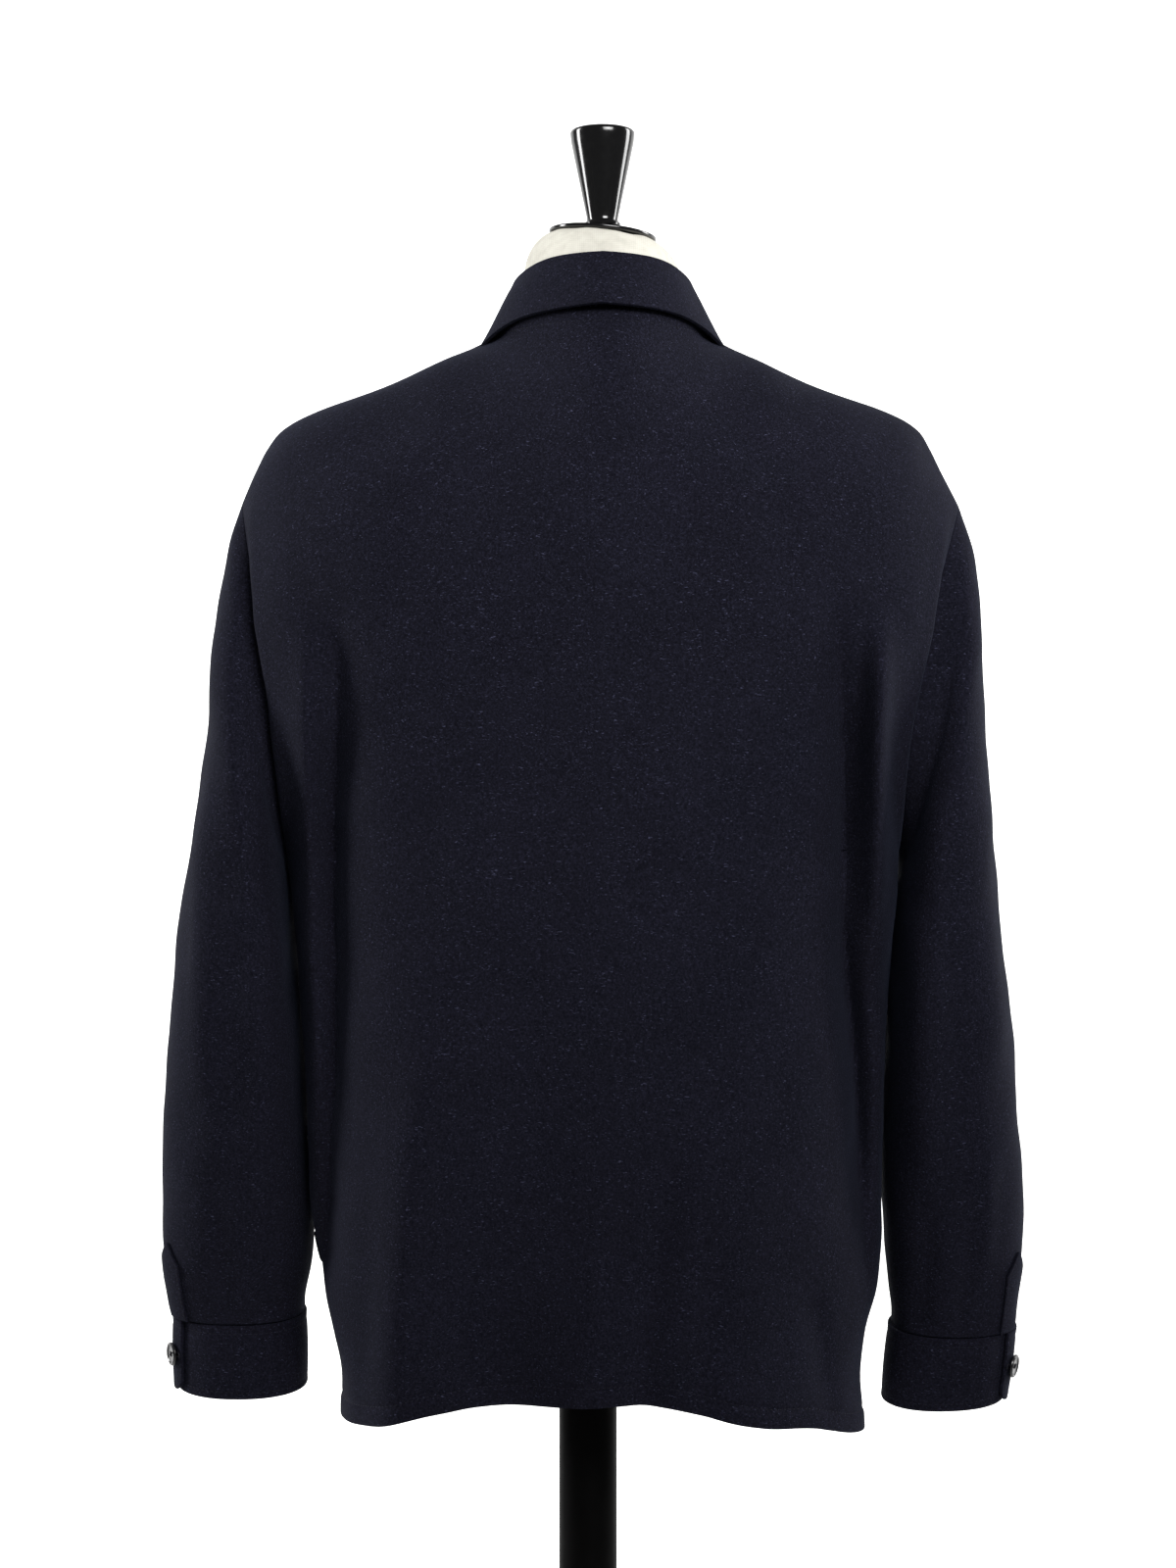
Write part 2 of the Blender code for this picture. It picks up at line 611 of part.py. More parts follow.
# Back and fronts
NECK_STOPS = (AXIS_X - NECK_HALF, AXIS_X + NECK_HALF)
half_neck = NECK_COLUMNS // 2
back = {
    "name": "back_panel", "side": "back", "flip": False,
    "grid": body_rows(-1, (None, *NECK_STOPS, None), (SHOULDER_COLUMNS, NECK_COLUMNS, SHOULDER_COLUMNS)),
}
front_left = {
    "name": "front_left", "side": "front", "flip": True,
    "grid": body_rows(1, (None, NECK_STOPS[0], AXIS_X, AXIS_X + LAP), (SHOULDER_COLUMNS, half_neck, 1)),
}
front_right = {
    "name": "front_right", "side": "front", "flip": True,
    "grid": body_rows(1, (AXIS_X - LAP, AXIS_X, NECK_STOPS[1], None), (1, half_neck, SHOULDER_COLUMNS)),
}
sleeves = {
    hand: {"name": "sleeve_" + hand, "side": "sleeve", "flip": hand == "left", "grid": sleeve_rows(hand),
           "closed": True}
    for hand in ("left", "right")
}
sheets = [back, front_left, front_right, *sleeves.values()]
for sheet in sheets:
    sheet["normals"] = normals_of(sheet["grid"], sheet.get("closed", False), sheet["flip"])
share_normals(sheets)
for sheet in sheets:
    for points, normals in zip(sheet["grid"], sheet["normals"]):
        for point, normal in zip(points, normals):
            point += normal * fold_height(point, sheet["side"])
for sheet in sheets:
    sheet["normals"] = normals_of(sheet["grid"], sheet.get("closed", False), sheet["flip"])
share_normals(sheets)
for points, normals in zip(front_left["grid"], front_left["normals"]):
    for point, normal in zip(points, normals):
        rise = ease((point.x - (AXIS_X - LAP - 0.022)) / 0.012)
        point += normal * LAP_RISE * rise
for sheet in (back, front_left, front_right):
    open_edge = {"back_panel": (0, -1), "front_left": (0,), "front_right": (-1,)}[sheet["name"]]
    draw_back(sheet["grid"], rows=(-1,), columns=open_edge)
for hand in ("left", "right"):
    draw_back(sleeves[hand]["grid"], rows=(0,))
for sheet in sheets:
    wall(sheet["name"], sheet["grid"], sheet["normals"], CLOTH, WOOL, sheet.get("closed", False))


def lapped_band(name, point_at, start, turn, lap, step, columns, flip):
    """A band of three rows that runs back from its start for one turn, steps out and laps over the start."""
    grid = []
    for i in range(3):
        line = []
        for k in range(columns + 1):
            turned_by = (turn + lap) * k / columns
            line.append(point_at(start - turned_by, i / 2, BAND_RISE * ease((turned_by - turn + step) / step)))
        grid.append(line)
    wall(name, grid, normals_of(grid, False, flip), COLLAR_CLOTH, WOOL)


# Cuffs
def cuff_point(hand, angle, t, rise):
    ring = Ring(*(blend(a, b, t) for a, b in zip(*CUFF[hand])))
    return ring_point(ring, angle, rise, CUFF_FULLNESS)


for hand in ("left", "right"):
    lapped_band("cuff_" + hand, partial(cuff_point, hand), CUFF_END + CUFF_LAP, math.tau, CUFF_LAP, CUFF_STEP,
                CUFF_COLUMNS, hand == "left")


# Collar stand: from its inner end at the right front, round the back, to its outer end at the left front
def stand_rise(degrees):
    """How far the left end of the stand lies out over the right end."""
    return ease((STAND_END - 360 + STAND_STEP - degrees) / STAND_STEP) * BAND_RISE


def stand_point(degrees, t, rise):
    front = (1 - math.cos(math.radians(degrees))) / 2
    lift = STAND_LIFT + t * blend(STAND_HEIGHT_BACK, STAND_HEIGHT_FRONT, front) + STAND_FRONT_LIFT * front ** 4
    return neck_point(degrees, rise - blend(STAND_IN_LOW, STAND_IN_TOP, t), lift)


lapped_band("collar_stand", stand_point, STAND_END, 360, STAND_LAP, STAND_STEP, STAND_COLUMNS, True)

# Collar fall
collar_rows = []
for k in range(-COLLAR_COLUMNS, COLLAR_COLUMNS + 1):
    leaf = smooth_row(COLLAR, abs(k) * (len(COLLAR) - 1) / COLLAR_COLUMNS)
    hand = -1 if k < 0 else 1
    top_angle, edge_angle = (math.radians(hand * a) for a in (leaf.top_angle, leaf.edge_angle))
    top = Vector((AXIS_X + leaf.top_reach * math.sin(top_angle), -leaf.top_reach * math.cos(top_angle), leaf.top_z))
    edge = Vector((AXIS_X + leaf.edge_reach * math.sin(edge_angle), -leaf.edge_reach * math.cos(edge_angle),
                   leaf.edge_z))
    out = Vector((math.sin(top_angle), -math.cos(top_angle), 0))
    degrees = hand * leaf.top_angle
    foot = stand_point(degrees, 1.0, stand_rise(degrees)) - out * COLLAR_CLOTH + Vector((0, 0, 2 * SEAM))
    bend = foot - out * 3 * SEAM + Vector((0, 0, 0.55 * (top.z - foot.z)))
    line = [foot, bend, top - out * 0.0030 - Vector((0, 0, 2 * SEAM)), top]
    for t in (0.12, 0.35, 0.65, 1.0):
        roll = COLLAR_ROLL * math.sin(math.pi * min(1.15 * t, 1))
        line.append(top.lerp(edge, t) + (out + Vector((0, 0, 0.6))) * roll)
    collar_rows.append(line)
wall("collar_fall", collar_rows, normals_of(collar_rows, False, False), COLLAR_CLOTH, WOOL)

# Sleeve plackets: a binding that lies on the sleeve above the cuff, over the slit
for hand in ("left", "right"):
    grid = []
    for i in range(5):
        t = blend(PLACKET_TOP, PLACKET_FOOT, i / 4)
        taper = PLACKET_TAPER if i == 0 else 0.0
        grid.append([sleeve_surface(hand, blend(PLACKET_FROM + taper, PLACKET_TO - taper, k / 4), t)
                     for k in range(5)])
    normals = normals_of(grid, False, hand == "right")
    for points, directions in zip(grid, normals):
        for point, direction in zip(points, directions):
            point += direction * (PLACKET_CLEAR + PLACKET_THICKNESS)
    wall("sleeve_placket_" + hand, grid, normals, PLACKET_THICKNESS, WOOL)

# Buttons
def sew_button(name, point, normal):
    facing = normal.to_track_quat("Z", "Y").to_matrix().to_4x4()
    turned(name, BUTTON, point + normal * BUTTON_CLEAR, HORN, 12, facing)


def place_on(sheet, x, z):
    """The point of a front at this x and z, with its outward direction, between its nearest points."""
    grid, normals = sheet["grid"], sheet["normals"]
    near = []
    for points, directions in zip(grid, normals):
        for point, direction in zip(points, directions):
            away = math.hypot(point.x - x, point.z - z)
            near.append((away, point.y, direction))
    near.sort(key=lambda item: item[0])
    picked = near[:4]
    weights = [1 / (away + 1e-4) for away, _, _ in picked]
    y = sum(w * item[1] for w, item in zip(weights, picked)) / sum(weights)
    normal = sum((item[2] * w for w, item in zip(weights, picked)), Vector()).normalized()
    return Vector((x, y, z)), normal


for number, z in enumerate(FRONT_BUTTONS_Z, 1):
    point, normal = place_on(front_left, AXIS_X, z)
    sew_button(f"button_front_{number}", point, normal)
for hand in ("left", "right"):
    point = cuff_point(hand, CUFF_BUTTON, 0.5, BAND_RISE)
    ahead = cuff_point(hand, CUFF_BUTTON + 0.05, 0.5, BAND_RISE)
    below = cuff_point(hand, CUFF_BUTTON, 0.4, BAND_RISE)
    normal = (ahead - point).cross(below - point).normalized()
    outwards = -1 if hand == "left" else 1
    sew_button("button_cuff_" + hand, point, normal * math.copysign(1, normal.x * outwards))
sew_button("button_collar", stand_point(180, 0.55, BAND_RISE), Vector((0, 1, 0.20)).normalized())

# Form: shoulders and chest from the cloth's own sections, drawn in, then a waist, flat arm plates and a neck
def form_body_rows():
    """Closed rings from the chest to the shoulder line: the back from left to right, then the front back again."""
    halves = {}
    for side in (-1, 1):
        grid = body_rows(side, (None, *NECK_STOPS, None), FORM_COLUMNS)[SKIRT_ROWS + CHEST_ROW:]
        normals = normals_of(grid, False, side > 0)
        for row, (points, directions) in enumerate(zip(grid, normals)):
            clear = CLOTH + blend(FORM_CHEST_CLEAR, FORM_SHOULDER_CLEAR, row / (len(grid) - 1))
            for point, direction in zip(points, directions):
                beside_neck = ease((0.125 - abs(point.x - AXIS_X)) / 0.050)
                point -= direction * (clear + FORM_NECK_CLEAR * beside_neck)
                point.x = min(max(point.x, FORM_PLATE["left"]), FORM_PLATE["right"])
        halves[side] = grid
    first, last = FORM_COLUMNS[0], FORM_COLUMNS[0] + FORM_COLUMNS[1]
    for k, (behind, ahead) in enumerate(zip(halves[-1][-1], halves[1][-1])):
        if k <= first or k >= last:
            ridge = (behind + ahead) / 2
            ridge.y = 0.0
            behind[:] = ridge
            ahead[:] = ridge
        else:
            for point in (behind, ahead):
                point.x = blend(point.x, AXIS_X, FORM_NECK_IN)
                point.y *= 1 - FORM_NECK_IN
    return [behind + ahead[::-1] for behind, ahead in zip(halves[-1], halves[1])]


rings = form_body_rows()
waist_rings = []
for row in WAIST:
    ring = []
    for point in rings[0]:
        angle = math.atan2(point.y, point.x - AXIS_X)
        ring.append(Vector((AXIS_X + FORM_HALF_WIDTH * row.across * math.cos(angle),
                            FORM_HALF_DEPTH * row.deep * math.sin(angle), row.z)))
    waist_rings.append(ring)
rings = waist_rings + rings
made = bmesh.new()
made_rings = [[made.verts.new(point) for point in ring] for ring in rings]
count = len(rings[0])
for low, high in zip(made_rings, made_rings[1:]):
    for k in range(count):
        made.faces.new((low[k], low[(k + 1) % count], high[(k + 1) % count], high[k]))
made.faces.new(made_rings[0][::-1])
half = count // 2
first, last = FORM_COLUMNS[0], FORM_COLUMNS[0] + FORM_COLUMNS[1]
top = made_rings[-1]
neck_loop = top[first:last + 1] + top[half + half - 1 - last + 1:half + half - 1 - first]
for level in FORM_NECK:
    ring = []
    for below in neck_loop:
        angle = math.atan2(below.co.y - level.y, below.co.x - AXIS_X)
        across = level.radius * math.cos(angle)
        ring.append(made.verts.new((AXIS_X + across, level.y + level.radius * math.sin(angle),
                                    level.z - across * math.sin(math.radians(level.roll)))))
    for k in range(len(ring)):
        m = (k + 1) % len(ring)
        made.faces.new((neck_loop[k], neck_loop[m], ring[m], ring[k]))
    neck_loop = ring
made.faces.new(neck_loop)
bmesh.ops.remove_doubles(made, verts=made.verts, dist=0.00005)
bmesh.ops.dissolve_degenerate(made, edges=made.edges, dist=0.00001)
finish_object("form_torso", made, COVER)

# Cap, knob, pole and base
cap = [Turned(0.0, CAP_RADIUS - EDGE / 2), Turned(EDGE / 2, CAP_RADIUS), Turned(CAP_HEIGHT - EDGE / 2, CAP_RADIUS),
       Turned(CAP_HEIGHT, CAP_RADIUS - EDGE / 2)]
turned("form_neck_cap", cap, Vector((AXIS_X, 0, CAP_Z)), LACQUER, 32, Matrix.Rotation(CAP_ROLL, 4, "Y"))
turned("form_knob", KNOB, Vector((AXIS_X, 0, KNOB_Z)), LACQUER, 24)
boss_top = BASE_HEIGHT + BOSS_HEIGHT
pole_foot = boss_top + SEAM
pole = [Turned(0.0, POLE_RADIUS), Turned(WAIST[0].z - SEAM - pole_foot, POLE_RADIUS)]
turned("stand_pole", pole, Vector((0, 0, pole_foot)), STEEL, 24)
base = [Turned(0.0, BASE_RADIUS), Turned(BASE_HEIGHT - EDGE, BASE_RADIUS), Turned(BASE_HEIGHT, BASE_RADIUS - EDGE),
        Turned(BASE_HEIGHT, BOSS_RADIUS), Turned(boss_top - EDGE, BOSS_RADIUS), Turned(boss_top, BOSS_RADIUS - EDGE)]
turned("stand_base", base, Vector((0, 0, 0)), STEEL, 40)
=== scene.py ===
"""A navy wool overshirt, buttoned up on a limbless dress form with a pole and a round base, seen from behind."""

import math
from collections import namedtuple

import bpy
import numpy as np
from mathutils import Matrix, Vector


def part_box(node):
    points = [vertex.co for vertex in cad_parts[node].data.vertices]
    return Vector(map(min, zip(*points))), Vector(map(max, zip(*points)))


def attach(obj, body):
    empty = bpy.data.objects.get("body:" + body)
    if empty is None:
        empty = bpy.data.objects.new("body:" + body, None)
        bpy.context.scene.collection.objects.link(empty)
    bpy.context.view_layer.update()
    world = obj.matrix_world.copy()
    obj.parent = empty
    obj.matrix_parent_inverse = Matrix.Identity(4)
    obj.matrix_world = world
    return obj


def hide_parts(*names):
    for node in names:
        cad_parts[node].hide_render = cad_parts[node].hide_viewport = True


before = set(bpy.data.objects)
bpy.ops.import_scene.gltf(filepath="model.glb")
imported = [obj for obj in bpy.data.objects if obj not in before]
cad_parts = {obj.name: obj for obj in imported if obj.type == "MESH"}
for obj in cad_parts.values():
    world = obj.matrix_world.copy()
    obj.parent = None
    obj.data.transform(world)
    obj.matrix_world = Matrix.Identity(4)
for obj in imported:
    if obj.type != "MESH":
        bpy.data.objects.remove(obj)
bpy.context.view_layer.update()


# Stand base: a round steel plate with a welded socket for the pole, turned, edges broken, painted satin black.
def linear(colour):
    """An sRGB hex colour as the linear red, green, blue and alpha that a shader takes."""
    parts = [int(colour[i:i + 2], 16) / 255 for i in (1, 3, 5)]
    return (*[c / 12.92 if c <= 0.04045 else ((c + 0.055) / 1.055) ** 2.4 for c in parts], 1.0)


def new_material(name, **finish):
    """A material and its shader, whose sockets take the finish: Base_Color=..., Roughness=..."""
    material = bpy.data.materials.new(name)
    material.use_nodes = True
    shader = material.node_tree.nodes["Principled BSDF"]
    for socket, value in finish.items():
        shader.inputs[socket.replace("_", " ")].default_value = value
    return material, shader


def add_node(material, kind, options, inputs):
    """Adds a node with its options and its inputs, each a value or the output of another node."""
    node = material.node_tree.nodes.new("ShaderNode" + kind)
    for option, value in options.items():
        setattr(node, option, value)
    for socket, value in inputs.items():
        if isinstance(value, bpy.types.NodeSocket):
            material.node_tree.links.new(value, node.inputs[socket])
        else:
            node.inputs[socket].default_value = value
    return node


def blend_colours(material, factor, stops):
    """A colour ramp over a factor, from rows of place and sRGB colour."""
    ramp = add_node(material, "ValToRGB", {}, {"Fac": factor})
    elements = ramp.color_ramp.elements
    for element, (place, colour) in zip(elements, (stops[0], stops[-1])):
        element.position = place
        element.color = linear(colour)
    for place, colour in stops[1:-1]:
        elements.new(place).color = linear(colour)
    return ramp.outputs["Color"]


def drive(shader, socket, output):
    """Links the output of a node to a socket of the shader."""
    shader.id_data.links.new(output, shader.inputs[socket])


def add_bump(material, shader, height, depth, strength):
    bump = add_node(material, "Bump", {}, {"Strength": strength, "Distance": depth, "Height": height})
    drive(shader, "Normal", bump.outputs["Normal"])


def object_place(material):
    return add_node(material, "TexCoord", {}, {}).outputs["Object"]


def noise(material, place, size, detail=2.0, roughness=0.5):
    """Cloudy noise whose patches are about this size, in metres."""
    return add_node(material, "TexNoise", {}, {"Vector": place, "Scale": 1 / size, "Detail": detail,
                                               "Roughness": roughness}).outputs["Fac"]


def turn_up(name, profile, centre, segments=96):
    """A turned piece, drawn up ring by ring from its foot. The profile's rows hold a height and a radius."""
    foot = Vector(centre) + Vector((0, 0, profile[0][0]))
    bpy.ops.mesh.primitive_circle_add(vertices=segments, radius=profile[0][1], fill_type="NGON", location=foot)
    piece = bpy.context.object
    piece.name = piece.data.name = name
    bpy.ops.object.mode_set(mode="EDIT")
    for (low, thin), (high, thick) in zip(profile, profile[1:]):
        bpy.ops.mesh.extrude_region_move(TRANSFORM_OT_translate={"value": (0, 0, high - low)})
        bpy.ops.transform.resize(value=(thick / thin, thick / thin, 1),
                                 center_override=(centre[0], centre[1], centre[2] + high))
    bpy.ops.mesh.select_all(action="SELECT")
    bpy.ops.mesh.normals_make_consistent(inside=False)
    bpy.ops.object.mode_set(mode="OBJECT")
    bpy.ops.object.transform_apply(location=True, rotation=True, scale=True)
    bpy.ops.object.shade_smooth_by_angle(angle=math.radians(32))
    return piece


def round_edge(radius, height, out):
    """Rows of a quarter round that turns inward up to the top of a turned piece."""
    angles = [math.radians(22.5 * k) for k in range(5)]
    return [(height - radius + radius * math.sin(a), out - radius + radius * math.cos(a)) for a in angles]


def keep(piece, material, slot, *nodes):
    """Gives a finished piece its material, its place in the part and the nodes that it stands for."""
    piece.data.materials.clear()
    piece.data.materials.append(material)
    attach(piece, "root")
    if nodes:
        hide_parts(*nodes)


# Satin paint on steel: a near-black skin with a soft gloss and a faint orange-peel, about 2 mm between its waves.
paint, paint_shader = new_material("satin_black_paint_on_steel", Roughness=0.55, Specular_IOR_Level=0.06)
place = object_place(paint)
drive(paint_shader, "Base Color",
      blend_colours(paint, noise(paint, place, 0.030), [(0.3, "#000000"), (0.7, "#030303")]))
add_bump(paint, paint_shader, noise(paint, place, 0.002), 0.0001, 0.15)

BASE_RADIUS, BASE_HEIGHT = 0.160, 0.010
SOCKET_RADIUS, SOCKET_TOP = 0.032, 0.045
BASE_ROUND = 0.002
base_profile = [(0.0, BASE_RADIUS - 0.001), (0.001, BASE_RADIUS)] + round_edge(BASE_ROUND, BASE_HEIGHT, BASE_RADIUS)
base_profile += [(BASE_HEIGHT, SOCKET_RADIUS + 0.003), (BASE_HEIGHT + 0.001, SOCKET_RADIUS + 0.001),
                 (BASE_HEIGHT + 0.003, SOCKET_RADIUS)] + round_edge(BASE_ROUND, SOCKET_TOP, SOCKET_RADIUS)
base = turn_up("base_plate_with_socket", base_profile, (0, 0, 0), 128)
keep(base, paint, "steel", "stand_base")

# Pole: one straight steel tube of 40 mm between the socket and the form, painted like the base.
pole_low, pole_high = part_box("stand_pole")
POLE_RADIUS, POLE_EDGE = 0.0200, 0.0008
pole_profile = [(0.0, POLE_RADIUS - POLE_EDGE), (POLE_EDGE, POLE_RADIUS)]
pole_profile += round_edge(POLE_EDGE, pole_high.z - pole_low.z, POLE_RADIUS)
pole = turn_up("pole_tube", pole_profile, (0, 0, pole_low.z), 64)
keep(pole, paint, "steel", "stand_pole")

# Form: a hollow shell under a stretched ivory cotton cover, flat where arms would be, with a neck. The cover is
# glued down, so it has no folds, and only the neck and the underside show.
def add_object(name, data):
    placed = bpy.data.objects.new(name, data)
    bpy.context.scene.collection.objects.link(placed)
    return placed


def activate(piece):
    """Selects one piece alone, for the operators that follow."""
    bpy.ops.object.select_all(action="DESELECT")
    piece.select_set(True)
    bpy.context.view_layer.objects.active = piece


form = add_object("form_cover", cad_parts["form_torso"].data.copy())
activate(form)
bpy.ops.object.mode_set(mode="EDIT")
bpy.ops.mesh.select_all(action="SELECT")
bpy.ops.mesh.remove_doubles(threshold=0.00005)
bpy.ops.mesh.tris_convert_to_quads(face_threshold=math.radians(60), shape_threshold=math.radians(80))
bpy.ops.mesh.normals_make_consistent(inside=False)
bpy.ops.mesh.select_all(action="DESELECT")
bpy.ops.mesh.select_mode(type="EDGE")
bpy.ops.mesh.edges_select_sharp(sharpness=math.radians(55))
bpy.ops.transform.edge_crease(value=0.8)
bpy.ops.object.mode_set(mode="OBJECT")
smoothing = form.modifiers.new("smoothing", "SUBSURF")
smoothing.levels = smoothing.render_levels = 2
bpy.ops.object.modifier_apply(modifier=smoothing.name)
bpy.ops.object.shade_smooth_by_angle(angle=math.radians(40))

# Cotton cover: a plain weave of 0.5 mm threads, drawn at 1.4 mm because finer threads would not show.
WEAVE = 0.0014
cover, cover_shader = new_material("ivory_cotton_cover", Roughness=0.9, Specular_IOR_Level=0.2)
place = object_place(cover)
warp, weft = (add_node(cover, "TexWave", {"bands_direction": direction},
                       {"Vector": place, "Scale": math.tau / 20 / WEAVE, "Distortion": 1.5, "Detail": 2.0})
              for direction in ("X", "Z"))
threads = add_node(cover, "Math", {"operation": "ADD"}, {0: warp.outputs["Fac"], 1: weft.outputs["Fac"]})
slubs = noise(cover, place, 0.006, 3.0)
toned = add_node(cover, "Math", {"operation": "MULTIPLY_ADD"}, {0: threads.outputs[0], 1: 0.16, 2: slubs})
drive(cover_shader, "Base Color",
      blend_colours(cover, toned.outputs[0], [(0.35, "#c6c4b9"), (0.6, "#d0cdc2"), (0.85, "#d8d6cb")]))
add_bump(cover, cover_shader, threads.outputs[0], 0.0002, 0.25)
keep(form, cover, "form_cover", "form_torso")

# Neck cap and knob: turned wood under black gloss lacquer. The cap is a thin disc that lies askew on the neck, and
# the knob is a cone that widens upward from a small waist and ends in a low dome.
lacquer, lacquer_shader = new_material("black_gloss_lacquer", Base_Color=linear("#060607"), IOR=1.5,
                                       Coat_Weight=0.2, Coat_Roughness=0.05)
place = object_place(lacquer)
rubbed = noise(lacquer, place, 0.004, 4.0)
gloss = add_node(lacquer, "MapRange", {}, {"Value": rubbed, "From Min": 0.3, "From Max": 0.7, "To Min": 0.10,
                                           "To Max": 0.18})
drive(lacquer_shader, "Roughness", gloss.outputs["Result"])
add_bump(lacquer, lacquer_shader, noise(lacquer, place, 0.012), 0.0002, 0.06)

CAP_RADIUS, CAP_HEIGHT, CAP_TILT = 0.0375, 0.0026, math.radians(5)
FORM_X = 0.010
CAP_Z = 1.4793
cap_profile = [(0.0, CAP_RADIUS - 0.0010), (0.0004, CAP_RADIUS - 0.0003), (0.0010, CAP_RADIUS)]
cap_profile += round_edge(0.0011, CAP_HEIGHT, CAP_RADIUS)
cap = turn_up("neck_cap", cap_profile, (FORM_X, 0, CAP_Z))
bpy.ops.object.mode_set(mode="EDIT")
bpy.ops.mesh.select_all(action="SELECT")
bpy.ops.transform.rotate(value=-CAP_TILT, orient_axis="Y", center_override=(FORM_X, 0, CAP_Z))
bpy.ops.object.mode_set(mode="OBJECT")
keep(cap, lacquer, "lacquer", "form_neck_cap")

knob_low, knob_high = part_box("form_knob")
knob_profile = [(0.0000, 0.0040), (0.0012, 0.0042), (0.0015, 0.0100), (0.0019, 0.0116), (0.0028, 0.0124),
                (0.0040, 0.0126), (0.0050, 0.0121), (0.0057, 0.0112), (0.0066, 0.0109), (0.0085, 0.0110)]
knob_profile += [(0.0085 + 0.0040 * k, 0.0110 + 0.00083 * k) for k in range(1, 14)]
knob_profile += [(0.0640, 0.0222), (0.0665, 0.0226), (0.0680, 0.0223), (0.0690, 0.0214), (0.0697, 0.0195),
                 (0.0702, 0.0150), (0.0704, 0.0080), (0.0705, 0.0010)]
knob_scale = (knob_high.z - knob_low.z) / knob_profile[-1][0]
knob = turn_up("turned_knob", [(height * knob_scale, radius) for height, radius in knob_profile],
               (FORM_X, 0, knob_low.z), 128)
keep(knob, lacquer, "lacquer", "form_knob")

# Back and fronts of the overshirt: three panels of felted wool, 2 mm thick, seamed at the sides, shoulders and
# armholes. They rest on the form's shoulders and hang free below. The left front laps over the right one.
CLOTH = 0.0020
COLLAR_CLOTH = 0.0024  # layers of collar and cuffs pressed together
SEAM = 0.0003  # gap between the pieces that a seam joins
HEM_Z, UNDERARM_Z = 0.680, 1.055
LAP = 0.018  # how far each front runs past the centre line
LAP_GAP = 0.0008  # between cloth that laps over cloth
NECK_HALF, NECK_BACK, NECK_FRONT = 0.068, 0.078, 0.072
NECK_BACK_Z, NECK_SIDE_Z, NECK_FRONT_Z = 1.4120, 1.4080, 1.3620
NECK_FLARE, NECK_RAISE = 0.0060, 0.0050  # the cloth rolls out and up where the collar lies on it, most behind
SIDE_ROLL = 0.6156  # the share of that roll at the sides of the neck
PULL_REACH = 0.080  # how far from an armhole the cloth gives way to it
HEM_STITCHES = 0.0130  # from the hem's edge to its row of stitches
HEM_PROUD = 0.0007  # how far the turned-up hem stands out
NECK_STITCHES = 0.0100  # from the neck seam behind to a row of stitches
HEM_ROWS = [0.0, 0.0015, 0.0035, 0.006, 0.0085, 0.0105, 0.0118, 0.0125, 0.0130, 0.0135, 0.0142, 0.0155, 0.018, 0.022]
SKIRT_STEPS = [height / (UNDERARM_Z - HEM_Z) for height in HEM_ROWS] + list(np.linspace(0.073, 1.0, 60))
ARM_STEPS, CHEST_STEP = 72, 42
SHOULDER_COLUMNS, NECK_COLUMNS = 60, 36
SEAM_CALM, TOP_CALM = 0.016, 0.030  # how far from side and shoulder seams the creases and waves reach their height
# Degrees that a panel turns over up to the shoulder seam near the arms and up to the neck, and where these blend
TURN_ARM, TURN_NECK, TURN_FROM, TURN_WITHIN = 90, 56, 0.110, 0.070
SMOOTHING_PASSES, SMOOTHING_SHARE, SMOOTHING_REACH = 90, 0.9, 0.030

# Level sections of the body: x of both sides, y of the middle behind and in front
Section = namedtuple("Section", "z left right back front fullness")
SECTIONS = [
    Section(0.640, -0.1700, 0.1915, -0.127, 0.128, 2.7),
    Section(0.680, -0.1695, 0.1900, -0.128, 0.129, 2.7),
    Section(0.710, -0.1700, 0.1875, -0.128, 0.130, 2.7),
    Section(0.740, -0.1755, 0.1905, -0.128, 0.131, 2.7),
    Section(0.770, -0.1830, 0.1985, -0.128, 0.132, 2.7),
    Section(0.810, -0.1906, 0.2030, -0.128, 0.133, 2.7),
    Section(0.900, -0.1951, 0.2047, -0.128, 0.134, 2.7),
    Section(0.970, -0.1986, 0.2062, -0.128, 0.135, 2.7),
    Section(1.055, -0.2062, 0.2136, -0.128, 0.136, 2.6),
    Section(1.130, -0.2130, 0.2200, -0.128, 0.136, 2.5),
    Section(1.210, -0.2220, 0.2290, -0.127, 0.132, 2.4),
]
HemPoint = namedtuple("HemPoint", "x back front")
HEM = [
    HemPoint(-0.171, 0.670, 0.670),
    HemPoint(-0.100, 0.686, 0.676),
    HemPoint(-0.020, 0.693, 0.682),
    HemPoint(0.050, 0.695, 0.684),
    HemPoint(0.110, 0.681, 0.679),
    HemPoint(0.150, 0.675, 0.672),
    HemPoint(0.192, 0.661, 0.661),
]
Armhole = namedtuple("Armhole", "under_x under_z top_x top_z half_depth bow")
ARMHOLE = {
    "left": Armhole(-0.2072, UNDERARM_Z, -0.2387, 1.2960, 0.060, 0.006),
    "right": Armhole(0.2146, UNDERARM_Z, 0.2564, 1.2930, 0.060, -0.012),
}
ShoulderPoint = namedtuple("ShoulderPoint", "x z")
